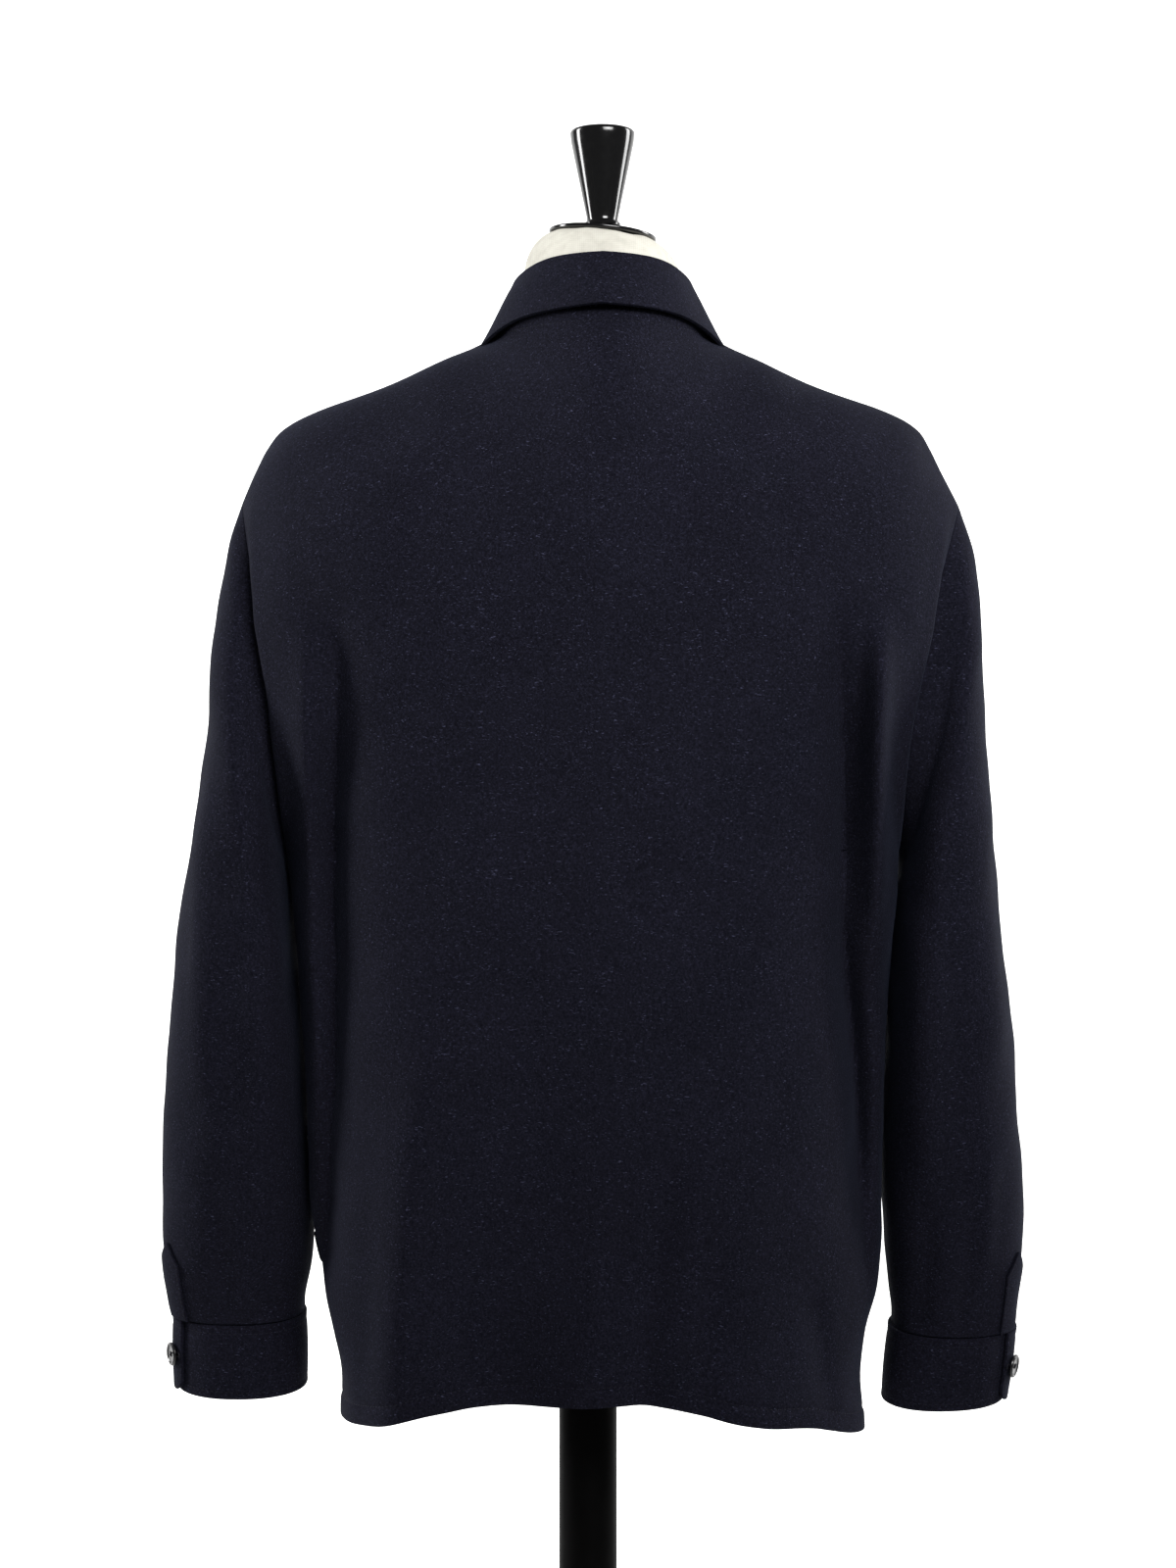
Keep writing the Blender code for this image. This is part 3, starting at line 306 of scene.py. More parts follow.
SHOULDER = {
    "left": [
        ShoulderPoint(-0.2387, 1.2960),
        ShoulderPoint(-0.2292, 1.3180),
        ShoulderPoint(-0.2220, 1.3325),
        ShoulderPoint(-0.2105, 1.3460),
        ShoulderPoint(-0.1850, 1.3590),
        ShoulderPoint(-0.1300, 1.3792),
        ShoulderPoint(FORM_X - NECK_HALF - SIDE_ROLL * NECK_FLARE, NECK_SIDE_Z + SIDE_ROLL * NECK_RAISE),
    ],
    "right": [
        ShoulderPoint(0.2564, 1.2930),
        ShoulderPoint(0.2440, 1.3180),
        ShoulderPoint(0.2373, 1.3320),
        ShoulderPoint(0.2275, 1.3465),
        ShoulderPoint(0.2040, 1.3588),
        ShoulderPoint(0.1500, 1.3778),
        ShoulderPoint(FORM_X + NECK_HALF + SIDE_ROLL * NECK_FLARE, NECK_SIDE_Z + SIDE_ROLL * NECK_RAISE),
    ],
}
# Creases laid on listed paths of x and z: troughs are negative. Each fades in over its lead and out over its tail,
# as shares of its path, and a lower power gives it a sharper middle
Crease = namedtuple("Crease", "height width lead tail path power", defaults=[2.0])
BACK_CREASES = [
    Crease(-0.0300, 0.0130, 0.30, 0.10, [(-0.163, 1.240), (-0.1665, 1.150), (-0.1705, 1.080), (-0.1700, 0.970),
                                         (-0.1710, 0.906), (-0.1750, 0.840), (-0.1780, 0.740)], 1.3),
    Crease(0.0100, 0.0085, 0.30, 0.35, [(-0.187, 1.220), (-0.186, 1.100), (-0.185, 0.980), (-0.187, 0.860)]),
    Crease(-0.0290, 0.0130, 0.25, 0.25, [(0.160, 1.250), (0.168, 1.161), (0.1720, 1.074), (0.1715, 1.000),
                                         (0.1800, 0.935), (0.1850, 0.870), (0.1890, 0.720)], 1.3),
    Crease(-0.0200, 0.0140, 0.45, 0.45, [(0.1715, 1.040), (0.1720, 0.990), (0.1810, 0.930), (0.1850, 0.870),
                                         (0.1880, 0.740)], 1.3),
    Crease(0.0200, 0.0095, 0.30, 0.35, [(0.193, 1.230), (0.192, 1.132), (0.192, 1.060), (0.195, 0.960)]),
    Crease(-0.0040, 0.0060, 0.35, 0.40, [(0.183, 1.210), (0.181, 1.140), (0.180, 1.060)]),
    Crease(0.0130, 0.0220, 0.55, 0.02, [(-0.112, 0.985), (-0.114, 0.901), (-0.119, 0.843), (-0.124, 0.792),
                                        (-0.130, 0.745), (-0.138, 0.650)]),
    Crease(-0.0125, 0.0380, 0.60, 0.02, [(-0.042, 1.060), (-0.048, 0.896), (-0.049, 0.843), (-0.052, 0.766),
                                         (-0.054, 0.714), (-0.056, 0.640)]),
    Crease(-0.0120, 0.0340, 0.60, 0.02, [(-0.050, 0.820), (-0.053, 0.740), (-0.056, 0.640)]),
    Crease(0.0080, 0.0480, 0.60, 0.02, [(0.078, 1.040), (0.084, 0.860), (0.086, 0.640)]),
    Crease(-0.0060, 0.0110, 0.35, 0.02, [(0.056, 0.890), (0.052, 0.830), (0.044, 0.779), (0.038, 0.727),
                                         (0.032, 0.640)]),
    Crease(-0.0040, 0.0090, 0.30, 0.20, [(0.146, 0.775), (0.154, 0.725), (0.163, 0.670)]),
    Crease(-0.0040, 0.0100, 0.40, 0.05, [(-0.148, 0.860), (-0.143, 0.790), (-0.149, 0.650)]),
    Crease(-0.0030, 0.0120, 0.40, 0.05, [(-0.072, 0.870), (-0.076, 0.790), (-0.082, 0.650)]),
    Crease(0.0032, 0.0120, 0.40, 0.05, [(0.012, 0.860), (0.006, 0.780), (0.000, 0.650)]),
    Crease(-0.0026, 0.0100, 0.40, 0.05, [(0.084, 0.830), (0.080, 0.760), (0.076, 0.650)]),
    Crease(-0.0022, 0.0160, 0.40, 0.40, [(-0.088, 1.345), (-0.112, 1.270), (-0.130, 1.180)]),
    Crease(-0.0020, 0.0150, 0.40, 0.40, [(0.108, 1.340), (0.128, 1.262), (0.141, 1.190)]),
    Crease(-0.0024, 0.0110, 0.30, 0.40, [(-0.196, 1.245), (-0.172, 1.190), (-0.150, 1.120)]),
    Crease(-0.0026, 0.0100, 0.30, 0.40, [(0.204, 1.235), (0.186, 1.200), (0.172, 1.150)]),
    Crease(0.0018, 0.0200, 0.40, 0.40, [(-0.060, 1.180), (-0.075, 1.050), (-0.070, 0.930)]),
    Crease(-0.0016, 0.0220, 0.40, 0.40, [(0.070, 1.200), (0.082, 1.080), (0.078, 0.960)]),
]
FRONT_CREASES = [
    Crease(-0.0240, 0.0150, 0.30, 0.15, [(-0.152, 1.215), (-0.158, 1.060), (-0.163, 0.900), (-0.168, 0.740)]),
    Crease(0.0090, 0.0090, 0.30, 0.35, [(-0.184, 1.200), (-0.185, 1.060), (-0.186, 0.900)]),
    Crease(-0.0220, 0.0160, 0.30, 0.15, [(0.163, 1.220), (0.170, 1.070), (0.176, 0.920), (0.182, 0.750)]),
    Crease(0.0100, 0.0090, 0.30, 0.35, [(0.190, 1.210), (0.192, 1.060), (0.195, 0.930)]),
    Crease(-0.0140, 0.0280, 0.45, 0.02, [(-0.088, 0.995), (-0.098, 0.850), (-0.104, 0.740), (-0.112, 0.640)]),
    Crease(-0.0120, 0.0250, 0.45, 0.02, [(0.106, 0.975), (0.115, 0.860), (0.120, 0.750), (0.128, 0.640)]),
    Crease(0.0070, 0.0230, 0.40, 0.02, [(0.060, 1.010), (0.066, 0.860), (0.071, 0.640)]),
    Crease(0.0060, 0.0180, 0.40, 0.02, [(-0.050, 0.930), (-0.058, 0.790), (-0.062, 0.640)]),
    Crease(-0.0030, 0.0120, 0.40, 0.40, [(-0.078, 1.330), (-0.112, 1.250), (-0.140, 1.160)]),
    Crease(-0.0028, 0.0130, 0.40, 0.40, [(0.098, 1.330), (0.128, 1.255), (0.155, 1.170)]),
    Crease(-0.0024, 0.0100, 0.30, 0.40, [(-0.192, 1.225), (-0.160, 1.170), (-0.132, 1.120)]),
    Crease(-0.0022, 0.0110, 0.30, 0.40, [(0.204, 1.215), (0.176, 1.165), (0.146, 1.120)]),
]


def ease(t):
    t = np.clip(t, 0.0, 1.0)
    return t * t * (3 - 2 * t)


def mix(a, b, t):
    return a + (b - a) * t


def signed_power(values, power):
    return np.sign(values) * abs(values) ** power


def lengths_along(line):
    """How far along a line of points each of them lies."""
    return np.concatenate([[0], np.cumsum(np.linalg.norm(np.diff(line, axis=0), axis=1))])


def spline(table, place):
    """What a table holds at a place that counts its rows from 0, on a curve through them all."""
    last = len(table) - 1
    i = min(max(int(place), 0), last - 1)
    t = place - i
    a, b, c, d = (np.array(table[min(max(k, 0), last)], float) for k in range(i - 1, i + 3))
    return b + 0.5 * t * (c - a + t * (2 * a - 5 * b + 4 * c - d + t * (3 * (b - c) + d - a)))


def row_at(table, value):
    """The row of a table where its first column has this value."""
    return type(table[0])(*spline(table, np.interp(value, [row[0] for row in table], range(len(table)))))


def pull(line, end, target):
    """Moves the end of a line of points to its target, and the others ever less with their distance."""
    away = np.linalg.norm(line - line[end], axis=1)
    line += np.outer(np.clip(1 - away / PULL_REACH, 0, 1) ** 2, np.array(target) - line[end])


def armhole_point(hand, side, angle):
    """A point of the armhole seam: angle 0 is the underarm and pi the top, side -1 the back and 1 the front."""
    a = ARMHOLE[hand]
    t = (1 - math.cos(angle)) / 2
    return np.array((mix(a.under_x, a.top_x, t) + a.bow * math.sin(angle) ** 2,
                     side * a.half_depth * math.sin(angle), mix(a.under_z, a.top_z, t)))


def neck_point(degrees, grow=0.0, lift=0.0, roll=1.0):
    """A point of the neck seam, by its angle from the centre back, negative to the left."""
    angle = math.radians(degrees)
    behind = math.cos(angle) > 0
    roll *= ((1 + math.cos(angle)) / 2) ** 0.7
    grow += NECK_FLARE * roll
    z = mix(NECK_SIDE_Z, NECK_BACK_Z if behind else NECK_FRONT_Z, abs(math.cos(angle)) ** 1.6)
    return np.array((FORM_X + (NECK_HALF + grow) * math.sin(angle),
                     -((NECK_BACK if behind else NECK_FRONT) + grow) * math.cos(angle), z + lift + NECK_RAISE * roll))


def outline(side, left, right, section, filled):
    """The body's outline at one height. Filled goes from its own outline, cut off at the armholes, to one that
    rounds out from the armholes themselves."""
    mid_y = section.back if side < 0 else section.front
    power = 2 / section.fullness
    first, last = (math.asin(abs(end[1] / mid_y) ** (1 / power)) for end in (left, right))
    angle = np.linspace(first, math.pi - last, 241)
    across = (1 - signed_power(np.cos(angle), power)) / 2
    cut_off = np.stack([mix(section.left, section.right, across), mid_y * abs(np.sin(angle)) ** power,
                        mix(left[2], right[2], across)], 1)
    angle = np.linspace(0, math.pi, 241)
    across = (1 - signed_power(np.cos(angle), power)) / 2
    rounded = left + np.outer(across, right - left)
    rounded[:, 1] = mix(rounded[:, 1], mid_y, abs(np.sin(angle)) ** power)
    pull(cut_off, 0, left)
    pull(cut_off, -1, right)
    return mix(cut_off, rounded, filled)


def spaced(line, stops, counts):
    """Points spaced evenly on a line between stops, which are x values, or None for its ends."""
    lengths = lengths_along(line)
    marks = []
    for stop in stops:
        if stop is None:
            marks.append(lengths[-1] if marks else 0.0)
            continue
        k = max(int(np.argmax(line[:, 0] >= stop - 1e-9)), 1)
        marks.append(np.interp(stop, line[k - 1:k + 1, 0], lengths[k - 1:k + 1]))
    at = [np.linspace(a, b, n, endpoint=False) for a, b, n in zip(marks, marks[1:], counts)]
    at = np.concatenate(at + [[marks[-1]]])
    return np.stack([np.interp(at, lengths, line[:, i]) for i in range(3)], 1)


def body_grid(side, stops, counts):
    """Rows of points over the back (side -1) or the front (side 1), from the hem to the shoulder."""
    grid = []
    for t in SKIRT_STEPS:
        z = mix(HEM_Z, UNDERARM_Z, t)
        section = row_at(SECTIONS, z)
        left = np.array((mix(section.left, ARMHOLE["left"].under_x, t ** 6), 0.0, z))
        right = np.array((mix(section.right, ARMHOLE["right"].under_x, t ** 6), 0.0, z))
        line = spaced(outline(side, left, right, section, 0.0), stops, counts)
        for point in line:
            hem = row_at(HEM, point[0])
            point[2] = mix(hem.back if side < 0 else hem.front, UNDERARM_Z, t)
        grid.append(line)
    for k in range(1, CHEST_STEP + 1):
        left, right = (armhole_point(hand, side, math.pi * k / ARM_STEPS) for hand in ("left", "right"))
        section = row_at(SECTIONS, (left[2] + right[2]) / 2)
        grid.append(spaced(outline(side, left, right, section, ease(k / CHEST_STEP)), stops, counts))
    seams = []
    for hand in ("left", "right"):
        rows = [spline(SHOULDER[hand], place) for place in np.linspace(0, 6, 121)]
        seams.append(np.array([(x, 0.0, z) for x, z in rows]))
    neck = np.array([neck_point(-90 - side * 2 * k) for k in range(1, 90)])
    low, high = grid[-1], spaced(np.concatenate([seams[0], neck, seams[1][::-1]]), stops, counts)
    end = np.radians(mix(TURN_ARM, TURN_NECK, ease((TURN_FROM - abs(high[:, 0] - FORM_X)) / TURN_WITHIN)))
    for k in range(CHEST_STEP + 1, ARM_STEPS + 1):
        t = (k - CHEST_STEP) / (ARM_STEPS - CHEST_STEP)
        inwards = (1 - np.cos(t * end)) / (1 - np.cos(end))
        upwards = np.sin(t * end) / np.sin(end)
        line = low + (high - low) * np.stack([inwards, inwards, upwards], 1)
        for edge, hand in ((0, "left"), (-1, "right")):
            if stops[edge] is None:
                pull(line, edge, armhole_point(hand, side, math.pi * k / ARM_STEPS))
        grid.append(line)
    grid = np.array(grid)
    # Rounds off the ridges that would run down from the corners of the neck
    row = np.arange(len(grid)) - len(SKIRT_STEPS) + 1
    soft = ease((row - CHEST_STEP) / 6) * ease((ARM_STEPS - row) / 7)
    beside = np.exp(-((abs(high[1:-1, 0] - FORM_X) - NECK_HALF) / SMOOTHING_REACH) ** 2)
    weight = (soft[:, None] * beside * SMOOTHING_SHARE)[..., None]
    for _ in range(SMOOTHING_PASSES):
        grid[:, 1:-1] += weight * ((grid[:, :-2] + grid[:, 2:]) / 2 - grid[:, 1:-1])
    return grid


def facing(grid, closed=False, flip=False):
    """Outward directions at the points of a grid."""
    across = np.roll(grid, -1, 1) - np.roll(grid, 1, 1) if closed else np.gradient(grid, axis=1)
    found = np.cross(across, np.gradient(grid, axis=0))
    return found / np.linalg.norm(found, axis=2, keepdims=True) * (-1 if flip else 1)


def share(first, second):
    """Gives two edges that a seam joins the same directions."""
    both = first + second
    both /= np.linalg.norm(both, axis=1, keepdims=True)
    first[:] = both
    second[:] = both


def turned(grid, edge):
    """A view of a grid whose first row is this edge of it: edges are low, high, first and last."""
    if edge in ("first", "last"):
        grid = grid.swapaxes(0, 1)
    return grid[::-1] if edge in ("high", "last") else grid


def from_edge(grid, edge):
    """How far each point lies from an edge of its grid, along the cloth."""
    axis = 0 if edge in ("low", "high") else 1
    steps = np.linalg.norm(np.diff(grid, axis=axis), axis=2)
    start = np.zeros_like(grid[:1, :, 0] if axis == 0 else grid[:, :1, 0])
    ahead = np.concatenate([start, np.cumsum(steps, axis)], axis)
    return ahead if edge in ("low", "first") else np.take(ahead, [-1], axis) - ahead


def ridge_at(away, at, height, width):
    """A soft ridge along an edge, from the points' distances away from it and the ridge's own. Grooves subtract it."""
    return height * np.exp(-((away - at) / width) ** 2)


def creased(grid, creases):
    """How far out each point moves for the creases, whose paths run in x and z."""
    x, z = grid[..., 0], grid[..., 2]
    total = np.zeros_like(x)
    for crease in creases:
        path = np.array(crease.path)
        lengths = np.linalg.norm(np.diff(path, axis=0), axis=1)
        nearest, place, passed = np.full_like(x, np.inf), np.zeros_like(x), 0.0
        for (ax, az), (bx, bz), length in zip(path, path[1:], lengths):
            t = np.clip(((x - ax) * (bx - ax) + (z - az) * (bz - az)) / length ** 2, 0, 1)
            away = np.hypot(x - ax - t * (bx - ax), z - az - t * (bz - az))
            place = np.where(away < nearest, (passed + t * length) / lengths.sum(), place)
            nearest = np.minimum(away, nearest)
            passed += length
        fade = ease(place / crease.lead) * ease((1 - place) / crease.tail)
        total += crease.height * np.exp(-(nearest / crease.width) ** crease.power) * fade
    return total


# Slow waves of cloth that has been worn: direction of each wave, its length and its height
Wave = namedtuple("Wave", "x y z length height")
WAVES = [
    Wave(0.9, 0.2, 0.4, 0.110, 0.00055),
    Wave(-0.5, 0.6, 0.7, 0.083, 0.00045),
    Wave(0.3, -0.8, 0.5, 0.061, 0.00030),
    Wave(0.7, 0.5, -0.6, 0.047, 0.00022),
    Wave(-0.2, 0.3, 0.95, 0.036, 0.00014),
]


def waves(grid):
    total = np.zeros(grid.shape[:2])
    for number, wave in enumerate(WAVES):
        along = grid @ np.array((wave.x, wave.y, wave.z))
        total += wave.height * np.sin(math.tau * along / wave.length + number)
    return total


def draw_back(grid, edge, distance):
    """Draws an edge of a grid back along the cloth."""
    lines = turned(grid, edge)
    step = lines[1] - lines[0]
    lines[0] += step / np.linalg.norm(step, axis=1, keepdims=True) * distance


def cloth_wall(name, grid, normals, thickness, closed=False, flip=False, round_off=0.0007):
    """A sheet of cloth: the grid is its outer side, the inner side lies one thickness below, the edges are round."""
    rows, columns = grid.shape[:2]
    number = np.arange(rows * columns).reshape(rows, columns)
    if closed:
        number = np.concatenate([number, number[:, :1]], 1)
    below = number + rows * columns
    faces = np.stack([number[:-1, :-1], number[:-1, 1:], number[1:, 1:], number[1:, :-1]], -1).reshape(-1, 4)
    under = np.stack([below[:-1, :-1], below[1:, :-1], below[1:, 1:], below[:-1, 1:]], -1).reshape(-1, 4)
    rims = [np.stack([number[0, :-1], below[0, :-1], below[0, 1:], number[0, 1:]], -1),
            np.stack([number[-1, :-1], number[-1, 1:], below[-1, 1:], below[-1, :-1]], -1)]
    if not closed:
        rims.append(np.stack([number[:-1, 0], number[1:, 0], below[1:, 0], below[:-1, 0]], -1))
        rims.append(np.stack([number[:-1, -1], below[:-1, -1], below[1:, -1], number[1:, -1]], -1))
    faces = np.concatenate([faces, under, *rims])
    if flip:
        faces = faces[:, ::-1]
    mesh = bpy.data.meshes.new(name)
    mesh.from_pydata(np.concatenate([grid.reshape(-1, 3), (grid - normals * thickness).reshape(-1, 3)]).tolist(), [],
                     faces.tolist())
    piece = add_object(name, mesh)
    activate(piece)
    rounding = piece.modifiers.new("rounding", "BEVEL")
    rounding.width = round_off
    rounding.segments = 2
    rounding.limit_method = "ANGLE"
    rounding.angle_limit = math.radians(55)
    bpy.ops.object.modifier_apply(modifier=rounding.name)
    bpy.ops.object.shade_smooth_by_angle(angle=math.radians(50))
    return piece


# Felted wool flannel in a navy melange: dark fibres with a few pale ones, a short brushed nap that catches light at
# the edges, no gloss. Real fibres are 0.02 mm thick, so the mottle is drawn at 1.5 mm and the flecks at 3 to 5 mm.
wool, wool_shader = new_material("navy_melange_felted_wool", Roughness=0.95, Specular_IOR_Level=0.06, Sheen_Weight=0.05,
                                 Sheen_Roughness=0.40, Sheen_Tint=linear("#8e9cc4"))
place = object_place(wool)
mottle = noise(wool, place, 0.0015, 3.0, 0.65)
patches = noise(wool, place, 0.050)
tone = add_node(wool, "Math", {"operation": "MULTIPLY_ADD"}, {0: patches, 1: 0.12, 2: mottle})
ground = blend_colours(wool, tone.outputs[0], [(0.36, "#0c0c14"), (0.56, "#15151e"), (0.80, "#21212f")])
fleck_height = None
for tilt, stretch in ((8, (330, 900, 1100)), (70, (300, 900, 1000)), (-40, (360, 900, 1200))):
    turned_place = add_node(wool, "Mapping", {}, {"Vector": place, "Rotation": (0, math.radians(tilt), 0),
                                                  "Scale": stretch})
    spots = add_node(wool, "TexNoise", {}, {"Vector": turned_place.outputs["Vector"], "Scale": 1.0, "Detail": 1.0})
    fleck = add_node(wool, "MapRange", {}, {"Value": spots.outputs["Fac"], "From Min": 0.695, "From Max": 0.81})
    pale = add_node(wool, "Mix", {"data_type": "RGBA"}, {"Factor": fleck.outputs["Result"], 6: ground,
                                                         7: linear("#404156")})
    ground = pale.outputs[2]
    if fleck_height is None:
        fleck_height = fleck.outputs["Result"]
drive(wool_shader, "Base Color", ground)
nap = add_node(wool, "Math", {"operation": "MULTIPLY_ADD"}, {0: fleck_height, 1: 0.5, 2: mottle})
add_bump(wool, wool_shader, nap.outputs[0], 0.0005, 0.55)

NECK_STOPS = (neck_point(-90)[0], neck_point(90)[0])
back = body_grid(-1, (None, *NECK_STOPS, None), (SHOULDER_COLUMNS, NECK_COLUMNS, SHOULDER_COLUMNS))
front_left = body_grid(1, (None, NECK_STOPS[0], FORM_X, FORM_X + LAP), (SHOULDER_COLUMNS, NECK_COLUMNS // 2, 8))
front_right = body_grid(1, (FORM_X - LAP, FORM_X, NECK_STOPS[1], None), (8, NECK_COLUMNS // 2, SHOULDER_COLUMNS))

# Sleeves: each one panel of the same wool, sewn into a tube and set into the dropped armhole. They hang a little
# forward and hold their folds. Rings of a sleeve: inner and outer edge, middle, half the depth, drop of the back
Ring = namedtuple("Ring", "inner_x inner_z outer_x outer_z mid_y half_depth tip")
SLEEVE = {
    "left": [
        Ring(-0.2082, 1.044, -0.2452, 1.275, 0.000, 0.064, 0.000),
        Ring(-0.2062, 1.030, -0.2503, 1.250, 0.000, 0.070, 0.000),
        Ring(-0.2050, 1.012, -0.2551, 1.221, 0.000, 0.076, 0.000),
        Ring(-0.2035, 0.992, -0.2585, 1.188, 0.001, 0.081, 0.000),
        Ring(-0.2018, 0.972, -0.2607, 1.150, 0.002, 0.084, 0.000),
        Ring(-0.2002, 0.952, -0.2665, 1.110, 0.003, 0.085, 0.000),
        Ring(-0.1985, 0.930, -0.2727, 1.068, 0.004, 0.084, 0.000),
        Ring(-0.1971, 0.908, -0.2793, 1.026, 0.006, 0.081, 0.001),
        Ring(-0.1958, 0.884, -0.2851, 0.982, 0.009, 0.077, 0.002),
        Ring(-0.1947, 0.860, -0.2905, 0.938, 0.012, 0.073, 0.003),
        Ring(-0.1935, 0.834, -0.2942, 0.894, 0.016, 0.068, 0.004),
        Ring(-0.1926, 0.808, -0.2972, 0.850, 0.020, 0.062, 0.005),
        Ring(-0.1936, 0.783, -0.2980, 0.808, 0.024, 0.055, 0.006),
        Ring(-0.1960, 0.760, -0.2970, 0.772, 0.027, 0.048, 0.006),
        Ring(-0.1990, 0.742, -0.2942, 0.746, 0.030, 0.041, 0.006),
        Ring(-0.1995, 0.7305, -0.2918, 0.7305, 0.031, 0.036, 0.005),
    ],
    "right": [
        Ring(0.2158, 1.044, 0.2628, 1.272, 0.000, 0.064, 0.000),
        Ring(0.2138, 1.030, 0.2683, 1.248, 0.000, 0.070, 0.000),
        Ring(0.2124, 1.012, 0.2707, 1.219, 0.000, 0.076, 0.000),
        Ring(0.2108, 0.992, 0.2707, 1.186, 0.001, 0.081, 0.000),
        Ring(0.2092, 0.972, 0.2727, 1.148, 0.002, 0.084, 0.000),
        Ring(0.2077, 0.952, 0.2751, 1.108, 0.003, 0.085, 0.000),
        Ring(0.2070, 0.930, 0.2785, 1.066, 0.004, 0.084, 0.000),
        Ring(0.2064, 0.908, 0.2830, 1.024, 0.006, 0.081, 0.001),
        Ring(0.2060, 0.884, 0.2885, 0.980, 0.009, 0.077, 0.002),
        Ring(0.2056, 0.860, 0.2947, 0.935, 0.012, 0.073, 0.003),
        Ring(0.2054, 0.834, 0.2982, 0.890, 0.016, 0.068, 0.004),
        Ring(0.2058, 0.806, 0.3022, 0.846, 0.020, 0.062, 0.005),
        Ring(0.2078, 0.780, 0.3040, 0.802, 0.024, 0.055, 0.006),
        Ring(0.2110, 0.755, 0.3028, 0.765, 0.027, 0.048, 0.006),
        Ring(0.2138, 0.734, 0.3004, 0.738, 0.030, 0.041, 0.006),
        Ring(0.2138, 0.7215, 0.2988, 0.7215, 0.031, 0.036, 0.005),
    ],
}
SLEEVE_FULLNESS = 2.3
SLEEVE_CREASES = {
    "left": {
        "back": [
            Crease(0.0026, 0.008, 0.30, 0.35, [(-0.2555, 1.140), (-0.2600, 1.060), (-0.2615, 0.980), (-0.262, 0.860)]),
            Crease(-0.0042, 0.015, 0.30, 0.35, [(-0.236, 1.130), (-0.240, 1.020), (-0.238, 0.900), (-0.234, 0.800)]),
            Crease(0.0028, 0.010, 0.35, 0.35, [(-0.219, 0.990), (-0.220, 0.900), (-0.219, 0.800)]),
            Crease(-0.0025, 0.010, 0.30, 0.40, [(-0.2100, 1.040), (-0.2300, 0.985), (-0.2480, 0.960)]),
            Crease(-0.0020, 0.007, 0.40, 0.02, [(-0.2180, 0.830), (-0.2200, 0.770), (-0.2230, 0.725)]),
            Crease(-0.0022, 0.007, 0.40, 0.02, [(-0.2560, 0.850), (-0.2520, 0.780), (-0.2500, 0.725)]),
            Crease(0.0016, 0.006, 0.40, 0.02, [(-0.2400, 0.810), (-0.2390, 0.760), (-0.2370, 0.725)]),
        ],
        "front": [
            Crease(-0.0045, 0.016, 0.30, 0.35, [(-0.238, 1.100), (-0.244, 0.980), (-0.240, 0.860)]),
            Crease(-0.0030, 0.010, 0.30, 0.40, [(-0.2110, 1.020), (-0.2330, 0.970), (-0.2560, 0.945)]),
            Crease(-0.0028, 0.010, 0.30, 0.40, [(-0.2080, 0.955), (-0.2320, 0.925), (-0.2600, 0.915)]),
            Crease(-0.0022, 0.007, 0.40, 0.02, [(-0.2260, 0.840), (-0.2270, 0.780), (-0.2290, 0.725)]),
            Crease(0.0020, 0.007, 0.40, 0.02, [(-0.2540, 0.830), (-0.2520, 0.770), (-0.2500, 0.725)]),
        ],
    },
    "right": {
        "back": [
            Crease(0.0030, 0.010, 0.35, 0.30, [(0.2640, 1.160), (0.2680, 1.070), (0.2720, 0.990), (0.2790, 0.880)]),
            Crease(-0.0036, 0.014, 0.30, 0.35, [(0.2420, 1.110), (0.2460, 1.000), (0.2480, 0.900), (0.2470, 0.800)]),
            Crease(0.0030, 0.008, 0.40, 0.25, [(0.2720, 0.860), (0.2715, 0.820), (0.2700, 0.760)]),
            Crease(0.0026, 0.010, 0.35, 0.35, [(0.2250, 1.000), (0.2270, 0.900), (0.2280, 0.810)]),
            Crease(-0.0024, 0.010, 0.30, 0.40, [(0.2180, 1.035), (0.2380, 0.985), (0.2560, 0.965)]),
            Crease(-0.0022, 0.007, 0.40, 0.02, [(0.2330, 0.830), (0.2320, 0.770), (0.2300, 0.715)]),
            Crease(-0.0018, 0.006, 0.40, 0.02, [(0.2620, 0.800), (0.2600, 0.760), (0.2580, 0.715)]),
        ],
        "front": [
            Crease(-0.0044, 0.016, 0.30, 0.35, [(0.2440, 1.110), (0.2520, 0.990), (0.2500, 0.870)]),
            Crease(-0.0030, 0.010, 0.30, 0.40, [(0.2180, 1.010), (0.2400, 0.965), (0.2640, 0.950)]),
            Crease(-0.0026, 0.009, 0.30, 0.40, [(0.2160, 0.940), (0.2420, 0.915), (0.2700, 0.905)]),
            Crease(-0.0020, 0.007, 0.40, 0.02, [(0.2400, 0.830), (0.2390, 0.770), (0.2380, 0.715)]),
        ],
    },
}
SLEEVE_PLACES = np.concatenate([np.linspace(0, 1, 9)[:-1], np.linspace(1, 16, 112)])


def ring_line(ring, angles, grow=0.0, fullness=SLEEVE_FULLNESS):
    """Points round a sleeve at the given angles: 0 is its inner side, pi/2 the back, pi the outer side."""
    c, s = (signed_power(values, 2 / fullness) for values in (np.cos(angles), np.sin(angles)))
    half = math.hypot(ring.outer_x - ring.inner_x, ring.outer_z - ring.inner_z) / 2
    across = (1 - c * (half + grow) / half) / 2
    return np.stack([mix(ring.inner_x, ring.outer_x, across), ring.mid_y - (ring.half_depth + grow) * s,
                     mix(ring.inner_z, ring.outer_z, across) - ring.tip * s], -1)


